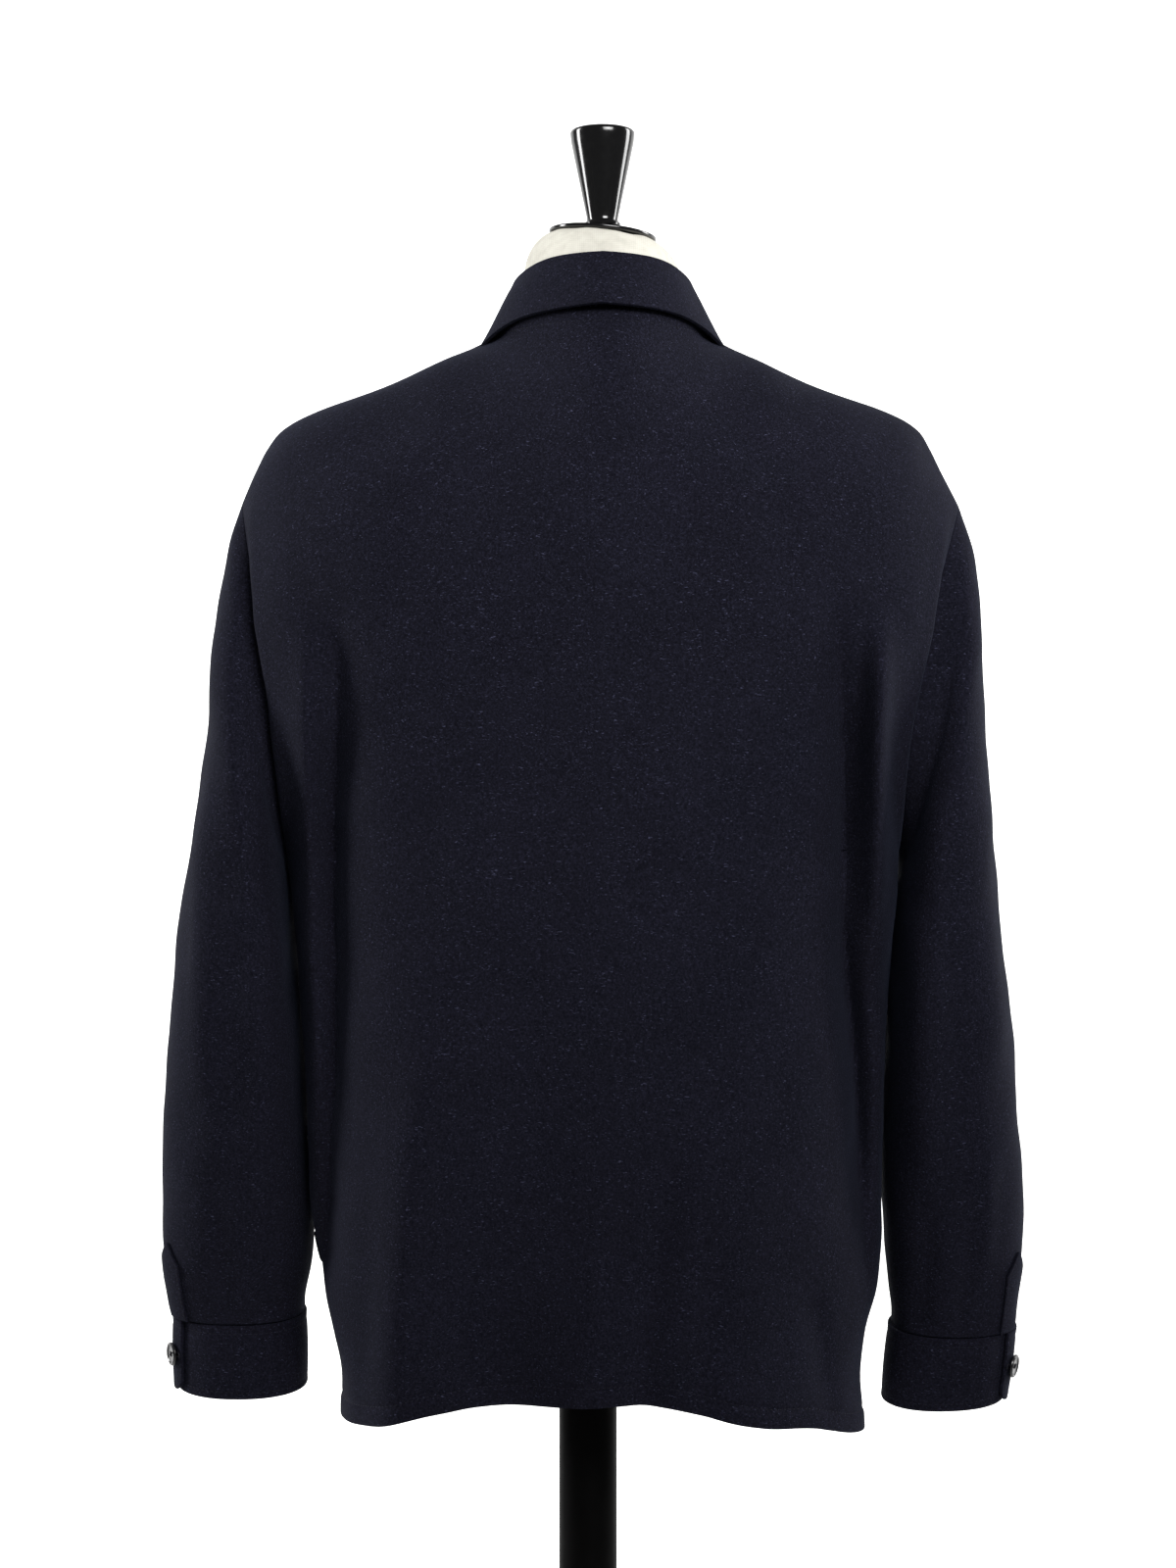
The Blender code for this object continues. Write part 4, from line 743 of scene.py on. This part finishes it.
sleeve_angles = math.pi * (1 - np.arange(2 * ARM_STEPS) / ARM_STEPS)
sleeves = {}
for hand in ("left", "right"):
    armhole = [armhole_point(hand, -1 if angle >= 0 else 1, abs(angle)) for angle in sleeve_angles]
    rings = [np.array(armhole)] + [ring_line(ring, sleeve_angles) for ring in SLEEVE[hand]]
    sleeves[hand] = np.array([spline(rings, place) for place in SLEEVE_PLACES])


def panel_facings():
    return {"back": facing(back), "left": facing(front_left, flip=True), "right": facing(front_right, flip=True)}


# The panels take their creases and waves, which fade out at the seams, and then their seams' shared directions
underarm = len(SKIRT_STEPS) - 1
arm = slice(underarm, None)
panel_normals = panel_facings()
for key, grid, creases, seams in (("back", back, BACK_CREASES, ("first", "last")),
                                  ("left", front_left, FRONT_CREASES, ("first",)),
                                  ("right", front_right, FRONT_CREASES, ("last",))):
    calm = ease(from_edge(grid, "high") / TOP_CALM)
    ridge = np.zeros_like(calm)
    for seam in seams:
        away = from_edge(grid, seam)
        calm *= ease(away / SEAM_CALM)
        beside_arm = ease((grid[..., 2] - UNDERARM_Z + 0.010) / 0.040) * ease((1.300 - grid[..., 2]) / 0.060)
        ridge += ridge_at(away, 0.013, height=0.0030, width=0.008) * beside_arm
    # Creases go straight in and out of the body, so that each keeps its place as it is seen from behind or in front
    grid[..., 1] += creased(grid, creases) * calm * (-1 if key == "back" else 1)
    moved = waves(grid) * calm + ridge
    above_hem = from_edge(grid, "low")
    moved -= ridge_at(above_hem, HEM_STITCHES, height=0.0006, width=0.0014)
    moved += HEM_PROUD * ease((HEM_STITCHES - 0.0010 - above_hem) / 0.0030)
    if key == "back":
        under_neck = ease((0.068 - abs(grid[..., 0] - FORM_X)) / 0.010)
        moved -= ridge_at(from_edge(grid, "high"), NECK_STITCHES, height=0.0012, width=0.0022) * under_neck
    grid += panel_normals[key] * moved[..., None]
for hand, grid in sleeves.items():
    normals = facing(grid, closed=True, flip=hand == "left")
    moved = np.where(normals[..., 1] < 0, creased(grid, SLEEVE_CREASES[hand]["back"]),
                     creased(grid, SLEEVE_CREASES[hand]["front"]))
    moved = (moved * np.clip(abs(normals[..., 1]) * 1.6, 0, 1) + waves(grid)) * ease(from_edge(grid, "low") / 0.025)
    grid += normals * (moved * ease(from_edge(grid, "high") / 0.010))[..., None]
panel_normals = panel_facings()
sleeve_normals = {hand: facing(grid, closed=True, flip=hand == "left") for hand, grid in sleeves.items()}
share(panel_normals["back"][:underarm + 1, 0], panel_normals["left"][:underarm + 1, 0])
share(panel_normals["back"][:underarm + 1, -1], panel_normals["right"][:underarm + 1, -1])
shoulder = SHOULDER_COLUMNS + 1
share(panel_normals["back"][-1, :shoulder], panel_normals["left"][-1, :shoulder])
share(panel_normals["back"][-1, -shoulder:], panel_normals["right"][-1, -shoulder:])
up_back = np.arange(ARM_STEPS, -1, -1)  # columns of a sleeve from the underarm to the top, over the back
up_front = (np.arange(ARM_STEPS, 2 * ARM_STEPS + 1)) % (2 * ARM_STEPS)
for hand, edge in (("left", 0), ("right", -1)):
    for key, columns in (("back", up_back), (hand, up_front)):
        of_sleeve = sleeve_normals[hand][0, columns]
        share(panel_normals[key][arm, edge], of_sleeve)
        sleeve_normals[hand][0, columns] = of_sleeve

# The left front rises over the right one, and every seam edge is drawn back by half its gap
LAP_RISE = CLOTH + LAP_GAP
rise = ease((front_left[..., 0] - (FORM_X - LAP - 0.022)) / 0.012) * LAP_RISE
front_left += panel_normals["left"] * rise[..., None]
BAND_STITCHES = 0.032  # from a front's edge to the stitches of its grown-on band
for grid, edge, key in ((front_left, "last", "left"), (front_right, "first", "right")):
    groove = ridge_at(from_edge(grid, edge), BAND_STITCHES, height=0.0005, width=0.0016)
    grid -= panel_normals[key] * groove[..., None]
for grid, edges in ((back, ("high", "first", "last")), (front_left, ("high", "first")), (front_right, ("high", "last")),
                    (sleeves["left"], ("low",)), (sleeves["right"], ("low",))):
    for edge in edges:
        draw_back(grid, edge, SEAM / 2)

back_piece = cloth_wall("back", back, panel_normals["back"], CLOTH)
keep(back_piece, wool, "wool", "back_panel")
left_piece = cloth_wall("left_front", front_left, panel_normals["left"], CLOTH, flip=True)
keep(left_piece, wool, "wool", "front_left")
right_piece = cloth_wall("right_front", front_right, panel_normals["right"], CLOTH, flip=True)
keep(right_piece, wool, "wool", "front_right")
for hand in ("left", "right"):
    sleeve = cloth_wall(f"sleeve_tube_{hand}", sleeves[hand], sleeve_normals[hand], CLOTH, closed=True,
                        flip=hand == "left")
    keep(sleeve, wool, "wool", f"sleeve_{hand}")

# Cuffs: bands of two pressed layers that go once round the wrist and lap over their own start on the outer side,
# with one round lower corner. They hold the sleeve's end, whose seam allowance runs on into them.
CUFF = {
    "left": [
        Ring(-0.1983, 0.7295, -0.2890, 0.7295, 0.031, 0.0365, 0.005),
        Ring(-0.1980, 0.6785, -0.2890, 0.6785, 0.036, 0.0355, 0.006),
    ],
    "right": [
        Ring(0.2115, 0.7205, 0.2985, 0.7205, 0.031, 0.0365, 0.005),
        Ring(0.2070, 0.6680, 0.2930, 0.6705, 0.036, 0.0355, 0.005),
    ],
}
CUFF_FULLNESS = 2.2
CUFF_END, CUFF_LAP, CUFF_STEP = math.radians(143), math.radians(50), math.radians(20)
BAND_RISE = COLLAR_CLOTH + LAP_GAP
CUFF_CORNER = 0.012  # radius of the round lower corner
CUFF_ACROSS = 0.040  # a cuff's mean reach from its middle, which turns the corner into an angle
CUFF_STITCHES = 0.0058  # from the cuff's edges to its stitches
ALLOWANCE, ALLOWANCE_CLOTH = 0.0040, 0.0006  # seam allowance to each side of the cuff's seam, pressed thin
CUFF_ROUND = 0.0009  # of the edges of cuffs and stand
CUFF_PUFF = 0.0005  # how far the middle of a cuff stands out between its stitches
cuffs, cuff_normals = {}, {}
for hand in ("left", "right"):
    height = CUFF[hand][0].inner_z - CUFF[hand][1].inner_z
    grid = []
    for t in np.linspace(0, 1, 25):
        ring = Ring(*mix(np.array(CUFF[hand][0]), np.array(CUFF[hand][1]), t))
        over_corner = max(CUFF_CORNER - (1 - t) * height, 0.0)
        drawn_in = CUFF_CORNER - math.sqrt(CUFF_CORNER ** 2 - over_corner ** 2)
        turned_by = np.linspace(0, math.tau + CUFF_LAP - drawn_in / CUFF_ACROSS, 190)
        rises = BAND_RISE * ease((turned_by - math.tau + CUFF_STEP) / CUFF_STEP)
        between = np.clip((t * height - CUFF_STITCHES) / (height - 2 * CUFF_STITCHES), 0, 1)
        puff = CUFF_PUFF * math.sin(math.pi * between)
        grid.append([ring_line(ring, np.array(CUFF_END + CUFF_LAP - angle), rise + puff, CUFF_FULLNESS)
                     for angle, rise in zip(turned_by, rises)])
    cuffs[hand] = np.array(grid)
    normals = facing(cuffs[hand], flip=hand == "left")
    for edge in ("low", "high"):
        groove = ridge_at(from_edge(cuffs[hand], edge), CUFF_STITCHES, height=0.0005, width=0.0013)
        cuffs[hand] -= normals * groove[..., None]
    cuff_normals[hand] = facing(cuffs[hand], flip=hand == "left")
    cuff = cloth_wall(f"cuff_band_{hand}", cuffs[hand], normals, COLLAR_CLOTH, flip=hand == "left",
                      round_off=CUFF_ROUND)
    keep(cuff, wool, "wool", f"cuff_{hand}")
    seam_line = sleeves[hand][0] - sleeve_normals[hand][0] * (CLOTH + 2 * SEAM)
    allowance = np.array([seam_line + (0, 0, rise) for rise in np.linspace(-ALLOWANCE, ALLOWANCE, 5)])
    allowance_piece = cloth_wall(f"cuff_seam_allowance_{hand}", allowance, sleeve_normals[hand][:len(allowance)],
                                 ALLOWANCE_CLOTH, closed=True, flip=hand == "left", round_off=0.0002)
    keep(allowance_piece, wool, "wool")

# Sleeve plackets: a folded binding over the slit that lets the cuff open, pointed at its upper end, stitched down
# on the sleeve and caught in the cuff's seam.
PLACKET_FROM, PLACKET_TO = math.radians(130), math.radians(160)
PLACKET_TOP, PLACKET_FOOT = 0.835, 0.995
PLACKET_THICKNESS, PLACKET_CLEAR = 0.0014, 0.0008
POINT_LENGTH = 0.010
SLEEVE_RUN = 0.38  # how long the sleeve is from the first ring to the last
plackets, placket_normals = {}, {}
for hand in ("left", "right"):
    rows = []
    for t in np.linspace(PLACKET_TOP, PLACKET_FOOT, 30):
        at = np.interp(1 + 15 * t, SLEEVE_PLACES, range(len(SLEEVE_PLACES)))
        low, part = int(at), at - int(at)
        below_top = (t - PLACKET_TOP) * SLEEVE_RUN
        width = 0.06 + 0.94 * min(below_top / POINT_LENGTH, 1.0)
        line = []
        for k in range(13):
            middle = (PLACKET_FROM + PLACKET_TO) / 2
            angle = middle + (k / 12 - 0.5) * (PLACKET_TO - PLACKET_FROM) * width
            column = ARM_STEPS * (1 - angle / math.pi)
            first, share_of = int(column), column - int(column)
            grid, normals = sleeves[hand], sleeve_normals[hand]
            point, out = ([mix(mix(a[low, first], a[low, first + 1], share_of),
                               mix(a[low + 1, first], a[low + 1, first + 1], share_of), part)
                           for a in (grid, normals)])
            line.append(point + out / np.linalg.norm(out) * (PLACKET_CLEAR + PLACKET_THICKNESS))
        rows.append(line)
    plackets[hand] = np.array(rows)
    placket_normals[hand] = facing(plackets[hand], flip=hand == "right")
    placket = cloth_wall(f"placket_{hand}", plackets[hand], placket_normals[hand], PLACKET_THICKNESS,
                         flip=hand == "right", round_off=0.0005)
    keep(placket, wool, "wool", f"sleeve_placket_{hand}")

# Collar: a stand of two layers sewn to the neck seam, its left end lapped over the right, and a fall that is sewn to
# the stand's upper edge, folds over and lies down with two points in front. Angles are from the centre back.
STAND_LAP = 22
STAND_END = 180 + STAND_LAP / 2
STAND_STEP = 8  # over these degrees the left end rises onto the right one
STAND_HEIGHT_BACK, STAND_HEIGHT_FRONT = 0.031, 0.0278
STAND_LIFT, STAND_FRONT_LIFT = 0.0004, 0.0008
STAND_IN_LOW, STAND_IN_TOP = 0.0015, 0.0073


def stand_rise(degrees):
    """How far the left end of the stand lies out over the right end."""
    return ease((STAND_END - 360 + STAND_STEP - degrees) / STAND_STEP) * BAND_RISE


def stand_point(degrees, t):
    front = (1 - math.cos(math.radians(degrees))) / 2
    lift = STAND_LIFT + t * mix(STAND_HEIGHT_BACK, STAND_HEIGHT_FRONT, front) + STAND_FRONT_LIFT * front ** 4
    return neck_point(degrees, stand_rise(degrees) - mix(STAND_IN_LOW, STAND_IN_TOP, t), lift, 1 - t)


stand = np.array([[stand_point(degrees, t) for degrees in np.linspace(STAND_END, -STAND_END, 220)]
                  for t in np.linspace(0, 1, 14)])
stand_normals = facing(stand, flip=True)
stand_piece = cloth_wall("collar_band", stand, stand_normals, COLLAR_CLOTH, flip=True, round_off=CUFF_ROUND)
keep(stand_piece, wool, "wool", "collar_stand")

Leaf = namedtuple("Leaf", "top_angle top_reach top_z edge_angle edge_reach edge_z")
COLLAR = [
    Leaf(0, 0.0735, 1.4560, 0, 0.0952, 1.4185),
    Leaf(30, 0.0700, 1.4542, 33, 0.0878, 1.4148),
    Leaf(60, 0.0645, 1.4485, 57, 0.0822, 1.4096),
    Leaf(90, 0.0616, 1.4430, 78, 0.0844, 1.4026),
    Leaf(115, 0.0622, 1.4350, 96, 0.0882, 1.3996),
    Leaf(140, 0.0643, 1.4210, 120, 0.0950, 1.3930),
    Leaf(158, 0.0680, 1.4080, 143, 0.1110, 1.3640),
    Leaf(172, 0.0705, 1.4010, 157, 0.1220, 1.3370),
]
COLLAR_ROLL = 0.0012
fall = []
for place in np.linspace(-7, 7, 180):
    leaf = Leaf(*spline(COLLAR, abs(place)))
    hand = -1 if place < 0 else 1
    top_angle, edge_angle = math.radians(hand * leaf.top_angle), math.radians(hand * leaf.edge_angle)
    top, edge = (np.array((FORM_X + reach * math.sin(angle), -reach * math.cos(angle), z))
                 for angle, reach, z in ((top_angle, leaf.top_reach, leaf.top_z),
                                         (edge_angle, leaf.edge_reach, leaf.edge_z)))
    out = np.array((math.sin(top_angle), -math.cos(top_angle), 0))
    up = np.array((0, 0, 1))
    foot = stand_point(hand * leaf.top_angle, 1.0) - out * COLLAR_CLOTH + up * 2 * SEAM
    bend = foot - out * 3 * SEAM + up * 0.55 * (top[2] - foot[2])
    line = [foot, bend, top - out * 0.0030 - up * 2 * SEAM, top]
    for t in (0.12, 0.35, 0.65, 1.0):
        line.append(mix(top, edge, t) + (out + 0.6 * up) * COLLAR_ROLL * math.sin(math.pi * min(1.15 * t, 1)))
    fall.append([spline(line, at) for at in np.concatenate([np.linspace(0, 5, 26), np.linspace(5.15, 7, 14)])])
fall = np.array(fall)
fall_normals = facing(fall)
fall += fall_normals * (waves(fall) * 0.6 * ease(from_edge(fall, "first") / 0.030))[..., None]
fall_normals = facing(fall)
fall_piece = cloth_wall("collar_leaf", fall, fall_normals, COLLAR_CLOTH, round_off=0.0010)
keep(fall_piece, wool, "wool", "collar_fall")

# Topstitching: navy core-spun thread in lock stitches of 2.6 mm, sunk into the wool, along the hem, the edges of the
# cuffs, the front bands and the plackets.
STITCH_LENGTH, STITCH_GAP, STITCH_HALF = 0.0026, 0.0010, 0.00026
# Along a stitch, its thickness and how far out its middle lies, as shares of the half thickness
STITCH_RINGS = ((0, 0.35, -1.1), (0.22, 1, -0.2), (0.78, 1, -0.2), (1, 0.35, -1.1))
EDGE_STITCHES, CUFF_END_STITCHES, PLACKET_STITCHES = 0.0020, 0.0035, 0.0016
thread, thread_shader = new_material("navy_polyester_thread", Roughness=0.7, Specular_IOR_Level=0.15)
place = object_place(thread)
drive(thread_shader, "Base Color",
      blend_colours(thread, noise(thread, place, 0.0008), [(0.3, "#14141c"), (0.7, "#1f1f2a")]))
add_bump(thread, thread_shader, noise(thread, place, 0.0004), 0.0001, 0.4)


def inset(grid, normals, edge, distance):
    """The line that runs along an edge of a grid at a distance from it, with its outward directions."""
    away = turned(from_edge(grid, edge), edge).T
    return tuple(np.array([[np.interp(distance, off, line[:, i]) for i in range(3)]
                           for off, line in zip(away, turned(lines, edge).swapaxes(0, 1))])
                 for lines in (grid, normals))


def of_thread(name, points, faces):
    """Makes a finished piece of thread."""
    mesh = bpy.data.meshes.new(name)
    mesh.from_pydata([tuple(point) for point in points], [], faces)
    mesh.shade_smooth()
    piece = add_object(name, mesh)
    activate(piece)
    bpy.ops.object.mode_set(mode="EDIT")
    bpy.ops.mesh.select_all(action="SELECT")
    bpy.ops.mesh.normals_make_consistent(inside=False)
    bpy.ops.object.mode_set(mode="OBJECT")
    keep(piece, thread, "wool")


def sew(name, lines):
    """Rows of stitches on lines of points with their outward directions, as one piece."""
    points, faces = [], []
    for line, outs in lines:
        lengths = lengths_along(line)
        for start in np.arange(STITCH_GAP, lengths[-1] - STITCH_LENGTH, STITCH_LENGTH + STITCH_GAP):
            a, b, out = (np.array([np.interp(start + more, lengths, rows[:, i]) for i in range(3)])
                         for more, rows in ((0, line), (STITCH_LENGTH, line), (STITCH_LENGTH / 2, outs)))
            ahead = (b - a) / np.linalg.norm(b - a)
            beside = np.cross(ahead, out)
            first = len(points)
            for t, size, sunk in STITCH_RINGS:
                middle = mix(a, b, t) + out * STITCH_HALF * sunk
                for corner in range(6):
                    angle = math.tau * corner / 6
                    points.append(middle + STITCH_HALF * size * (beside * math.cos(angle) + out * math.sin(angle)))
            for ring in range(3):
                low = first + 6 * ring
                for corner in range(6):
                    following = (corner + 1) % 6
                    faces.append([low + corner, low + 6 + corner, low + 6 + following, low + following])
            faces.append([first + corner for corner in range(6)])
            faces.append([first + 18 + corner for corner in range(5, -1, -1)])
    of_thread(name, points, faces)


sew("hem_stitches", [inset(back, panel_normals["back"], "low", HEM_STITCHES),
                     inset(front_left, panel_normals["left"], "low", HEM_STITCHES),
                     inset(front_right, panel_normals["right"], "low", HEM_STITCHES)])
neck_row, neck_row_normals = inset(back, panel_normals["back"], "high", NECK_STITCHES)
middle_back = slice(SHOULDER_COLUMNS + 2, SHOULDER_COLUMNS + NECK_COLUMNS - 1)
sew("neck_stitches", [(neck_row[middle_back], neck_row_normals[middle_back])])
sew("band_stitches", [inset(front_left, panel_normals["left"], "last", BAND_STITCHES),
                      inset(front_left, panel_normals["left"], "last", EDGE_STITCHES)])
for hand in ("left", "right"):
    rows = (("low", CUFF_STITCHES), ("high", CUFF_STITCHES), ("last", CUFF_END_STITCHES))
    sew(f"cuff_stitches_{hand}", [inset(cuffs[hand], cuff_normals[hand], *row) for row in rows])
    sew(f"placket_stitches_{hand}", [inset(plackets[hand][2:], placket_normals[hand][2:], edge, PLACKET_STITCHES)
                                     for edge in ("first", "last")])

# Buttons: seven down the front and collar and one on each cuff, 16.5 mm, turned from dark horn and polished, with a
# raised rim, four holes and a crossed thread. A worked buttonhole shows round each of them.
BUTTON_RADIUS, BUTTON_HEIGHT = 0.00825, 0.0030
BUTTON_CLEAR = 0.0005
HOLE_RADIUS, HOLE_REACH = 0.00085, 0.0018
BUTTONHOLE, BUTTONHOLE_HALF, BEAD, BEAD_STEPS = 0.0205, 0.0013, 0.0006, 32
button = turn_up("button_blank", [(0.0, 0.0060), (0.0003, 0.0068), (0.0010, 0.0080), (0.0016, BUTTON_RADIUS),
                                  (0.0023, 0.0081), (0.0028, 0.0077), (BUTTON_HEIGHT, 0.0071), (0.0028, 0.0065),
                                  (0.0024, 0.0060), (0.0022, 0.0055), (0.0022, 0.0030)], (0, 0, 0), 48)
for k in range(4):
    angle = math.radians(45 + 90 * k)
    bpy.ops.mesh.primitive_cylinder_add(vertices=12, radius=HOLE_RADIUS, depth=0.01,
                                        location=(HOLE_REACH * math.cos(angle), HOLE_REACH * math.sin(angle), 0.001))
    drill = bpy.context.object
    activate(button)
    hole = button.modifiers.new("hole", "BOOLEAN")
    hole.operation = "DIFFERENCE"
    hole.object = drill
    bpy.ops.object.modifier_apply(modifier=hole.name)
    bpy.data.objects.remove(drill, do_unlink=True)
bpy.ops.object.shade_smooth_by_angle(angle=math.radians(35))

# Crossed thread over the holes: two short bars that dip into them
bpy.ops.object.select_all(action="DESELECT")
bars = []
for k in range(2):
    bpy.ops.mesh.primitive_cylinder_add(vertices=8, radius=0.00032, depth=2 * HOLE_REACH,
                                        location=(0, 0, 0.0024 + 0.0003 * k),
                                        rotation=(math.radians(90), 0, math.radians(45 + 90 * k)))
    bars.append(bpy.context.object)
    bpy.ops.object.mode_set(mode="EDIT")
    bpy.ops.mesh.select_all(action="SELECT")
    bpy.ops.mesh.bevel(offset=0.0002, segments=2)
    bpy.ops.object.mode_set(mode="OBJECT")
for bar in bars:
    bar.select_set(True)
bpy.ops.object.join()
cross = bpy.context.object
bpy.ops.object.transform_apply(location=True, rotation=True, scale=True)
bpy.ops.object.shade_smooth_by_angle(angle=math.radians(50))

# Horn: nearly black, with faint brown-grey streaks along the horn and a polish
horn, horn_shader = new_material("polished_dark_horn", Roughness=0.24, IOR=1.55, Coat_Weight=0.15)
place = object_place(horn)
streaks = add_node(horn, "Mapping", {}, {"Vector": place, "Scale": (900, 900, 150)})
streak = add_node(horn, "TexNoise", {}, {"Vector": streaks.outputs["Vector"], "Scale": 0.5, "Detail": 3.0})
drive(horn_shader, "Base Color",
      blend_colours(horn, streak.outputs["Fac"], [(0.35, "#0b0b0d"), (0.6, "#15151a"), (0.8, "#2b2a2d")]))


def copy_to(source, name, point, out):
    """A copy of a piece with its own mesh, moved so that its foot is at the point and its top faces out."""
    placed = add_object(name, source.data.copy())
    turn = Vector(out).to_track_quat("Z", "Y").to_matrix().to_4x4()
    turn.translation = Vector(point)
    placed.data.transform(turn)
    return placed


def work_hole(name, point, out, along):
    """A worked buttonhole: a flat bead of thread round a slit, centred on the button."""
    beside = np.cross(out, along)
    reach, half = BUTTONHOLE / 2, BUTTONHOLE_HALF
    path = []
    for k in range(BEAD_STEPS):
        angle = math.tau * k / BEAD_STEPS
        end = reach - half if math.cos(angle) >= 0 else half - reach
        path.append(point + along * (end + half * math.cos(angle)) + beside * half * math.sin(angle))
    points, faces = [], []
    for k, middle in enumerate(path):
        following = (k + 1) % BEAD_STEPS
        ahead = path[following] - path[k - 1]
        side_of = np.cross(ahead / np.linalg.norm(ahead), out)
        for corner in range(6):
            angle = math.tau * corner / 6
            points.append(middle + BEAD * (side_of * math.cos(angle) + 0.5 * out * math.sin(angle)))
            faces.append([6 * k + corner, 6 * k + (corner + 1) % 6, 6 * following + (corner + 1) % 6,
                          6 * following + corner])
    of_thread(name, points, faces)


def nearest(grid, normals, node, axes):
    """The point of a grid and its direction nearest to the middle of a button's node, along these axes."""
    low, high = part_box(node)
    centre = np.array((low + high) / 2)
    away = np.linalg.norm((grid - centre)[..., axes], axis=2)
    i, k = np.unravel_index(np.argmin(away), away.shape)
    point, out = grid[i, k].copy(), normals[i, k]
    for axis in axes:
        point[axis] = centre[axis]
    point -= out * np.dot(point - grid[i, k], out)
    return point, out


button_places = [(f"button_front_{k}", front_left, panel_normals["left"], [0, 2], (0, 0, 1)) for k in range(1, 7)]
button_places.append(("button_collar", stand, stand_normals, [0, 1, 2], (1, 0, 0)))
for hand in ("left", "right"):
    button_places.append((f"button_cuff_{hand}", cuffs[hand], cuff_normals[hand], [0, 1, 2], (0, 1, 0)))
for node, grid, normals, axes, slit in button_places:
    point, out = nearest(grid, normals, node, axes)
    along = np.array(slit) - out * np.dot(slit, out)
    along /= np.linalg.norm(along)
    sewn = copy_to(button, node.replace("button_", "horn_button_"), point + out * BUTTON_CLEAR, out)
    keep(sewn, horn, "buttons", node)
    crossed = copy_to(cross, node.replace("button_", "button_thread_"), point + out * BUTTON_CLEAR, out)
    keep(crossed, thread, "buttons")
    work_hole(node.replace("button_", "buttonhole_"), point, out, along)
bpy.data.objects.remove(button, do_unlink=True)
bpy.data.objects.remove(cross, do_unlink=True)

# Studio: a seamless white sweep, a soft key light high on the right of the camera, two tall soft boxes at the sides and
# a light on the sweep. The camera looks level at the garment's back from 2 m.
GLOW_FROM, GLOW_FULL, PAPER_GLOW, WORLD_LIGHT = 0.9, 2.0, 0.95, 0.15
SWEEP_WIDTH, SWEEP_FRONT, SWEEP_BACK, SWEEP_BEND, SWEEP_HEIGHT = 14.0, -6.0, 5.0, 1.5, 7.0
sweep_line = [(SWEEP_FRONT, 0.0), (SWEEP_BACK - SWEEP_BEND, 0.0)]
sweep_line += [(SWEEP_BACK - SWEEP_BEND + SWEEP_BEND * math.sin(math.radians(a)),
                SWEEP_BEND - SWEEP_BEND * math.cos(math.radians(a)))
               for a in range(10, 91, 10)]
sweep_line.append((SWEEP_BACK, SWEEP_HEIGHT))
sweep_mesh = bpy.data.meshes.new("sweep")
sweep_mesh.from_pydata([(x, y, z) for y, z in sweep_line for x in (-SWEEP_WIDTH / 2, SWEEP_WIDTH / 2)], [],
                       [(2 * k, 2 * k + 1, 2 * k + 3, 2 * k + 2) for k in range(len(sweep_line) - 1)])
sweep_mesh.shade_smooth()
sweep = add_object("sweep", sweep_mesh)
paper, paper_shader = new_material("white_paper_sweep_painted_glow", Base_Color=linear("#f1f1f0"), Roughness=0.9,
                                   Emission_Color=linear("#ffffff"))
# Behind the stand the paper glows more with its depth until it is white: a painted glow, since the paper is no lamp
depth_of = add_node(paper, "SeparateXYZ", {}, {"Vector": object_place(paper)}).outputs["Y"]
painted_glow = add_node(paper, "MapRange", {}, {"Value": depth_of, "From Min": GLOW_FROM, "From Max": GLOW_FULL,
                                       "To Max": PAPER_GLOW})
drive(paper_shader, "Emission Strength", painted_glow.outputs["Result"])
sweep_mesh.materials.append(paper)

SoftBox = namedtuple("SoftBox", "name place aim width height watts spread")
SOFT_BOXES = [
    SoftBox("key", (0.75, -2.0, 2.2), (0.0, 0.0, 1.42), 1.3, 0.9, 7.8, 56),
    SoftBox("side_left", (-2.0, 0.2, 1.7), (0.0, 0.0, 1.20), 0.45, 1.7, 20, 120),
    SoftBox("side_right", (2.0, 0.5, 1.8), (0.0, 0.0, 1.20), 0.60, 1.7, 16, 120),
    SoftBox("sweep_light", (0.0, 2.4, 3.6), (0.0, 4.4, 0.6), 5.0, 1.0, 60, 160),
]
for box in SOFT_BOXES:
    lamp = bpy.data.lights.new(box.name, "AREA")
    lamp.shape = "RECTANGLE"
    lamp.size, lamp.size_y, lamp.energy, lamp.spread = box.width, box.height, box.watts, math.radians(box.spread)
    placed = add_object(box.name, lamp)
    placed.location = box.place
    placed.rotation_euler = (Vector(box.aim) - Vector(box.place)).to_track_quat("-Z", "Y").to_euler()

world = bpy.data.worlds.new("studio")
bpy.context.scene.world = world
world.use_nodes = True
background = world.node_tree.nodes["Background"]
background.inputs["Color"].default_value = (1, 1, 1, 1)
background.inputs["Strength"].default_value = WORLD_LIGHT

CAMERA_DISTANCE, CAMERA_HEIGHT, VIEW_HEIGHT = 2.0, 1.10, 1.088
camera = bpy.data.cameras.new("camera")
camera.sensor_fit = "VERTICAL"
camera.sensor_height = 36.0
camera.lens = camera.sensor_height * CAMERA_DISTANCE / VIEW_HEIGHT
camera_object = add_object("camera", camera)
camera_object.location = (0, -CAMERA_DISTANCE, CAMERA_HEIGHT)
camera_object.rotation_euler = (math.radians(90), 0, 0)
bpy.context.scene.camera = camera_object
bpy.context.scene.view_settings.view_transform = "Standard"
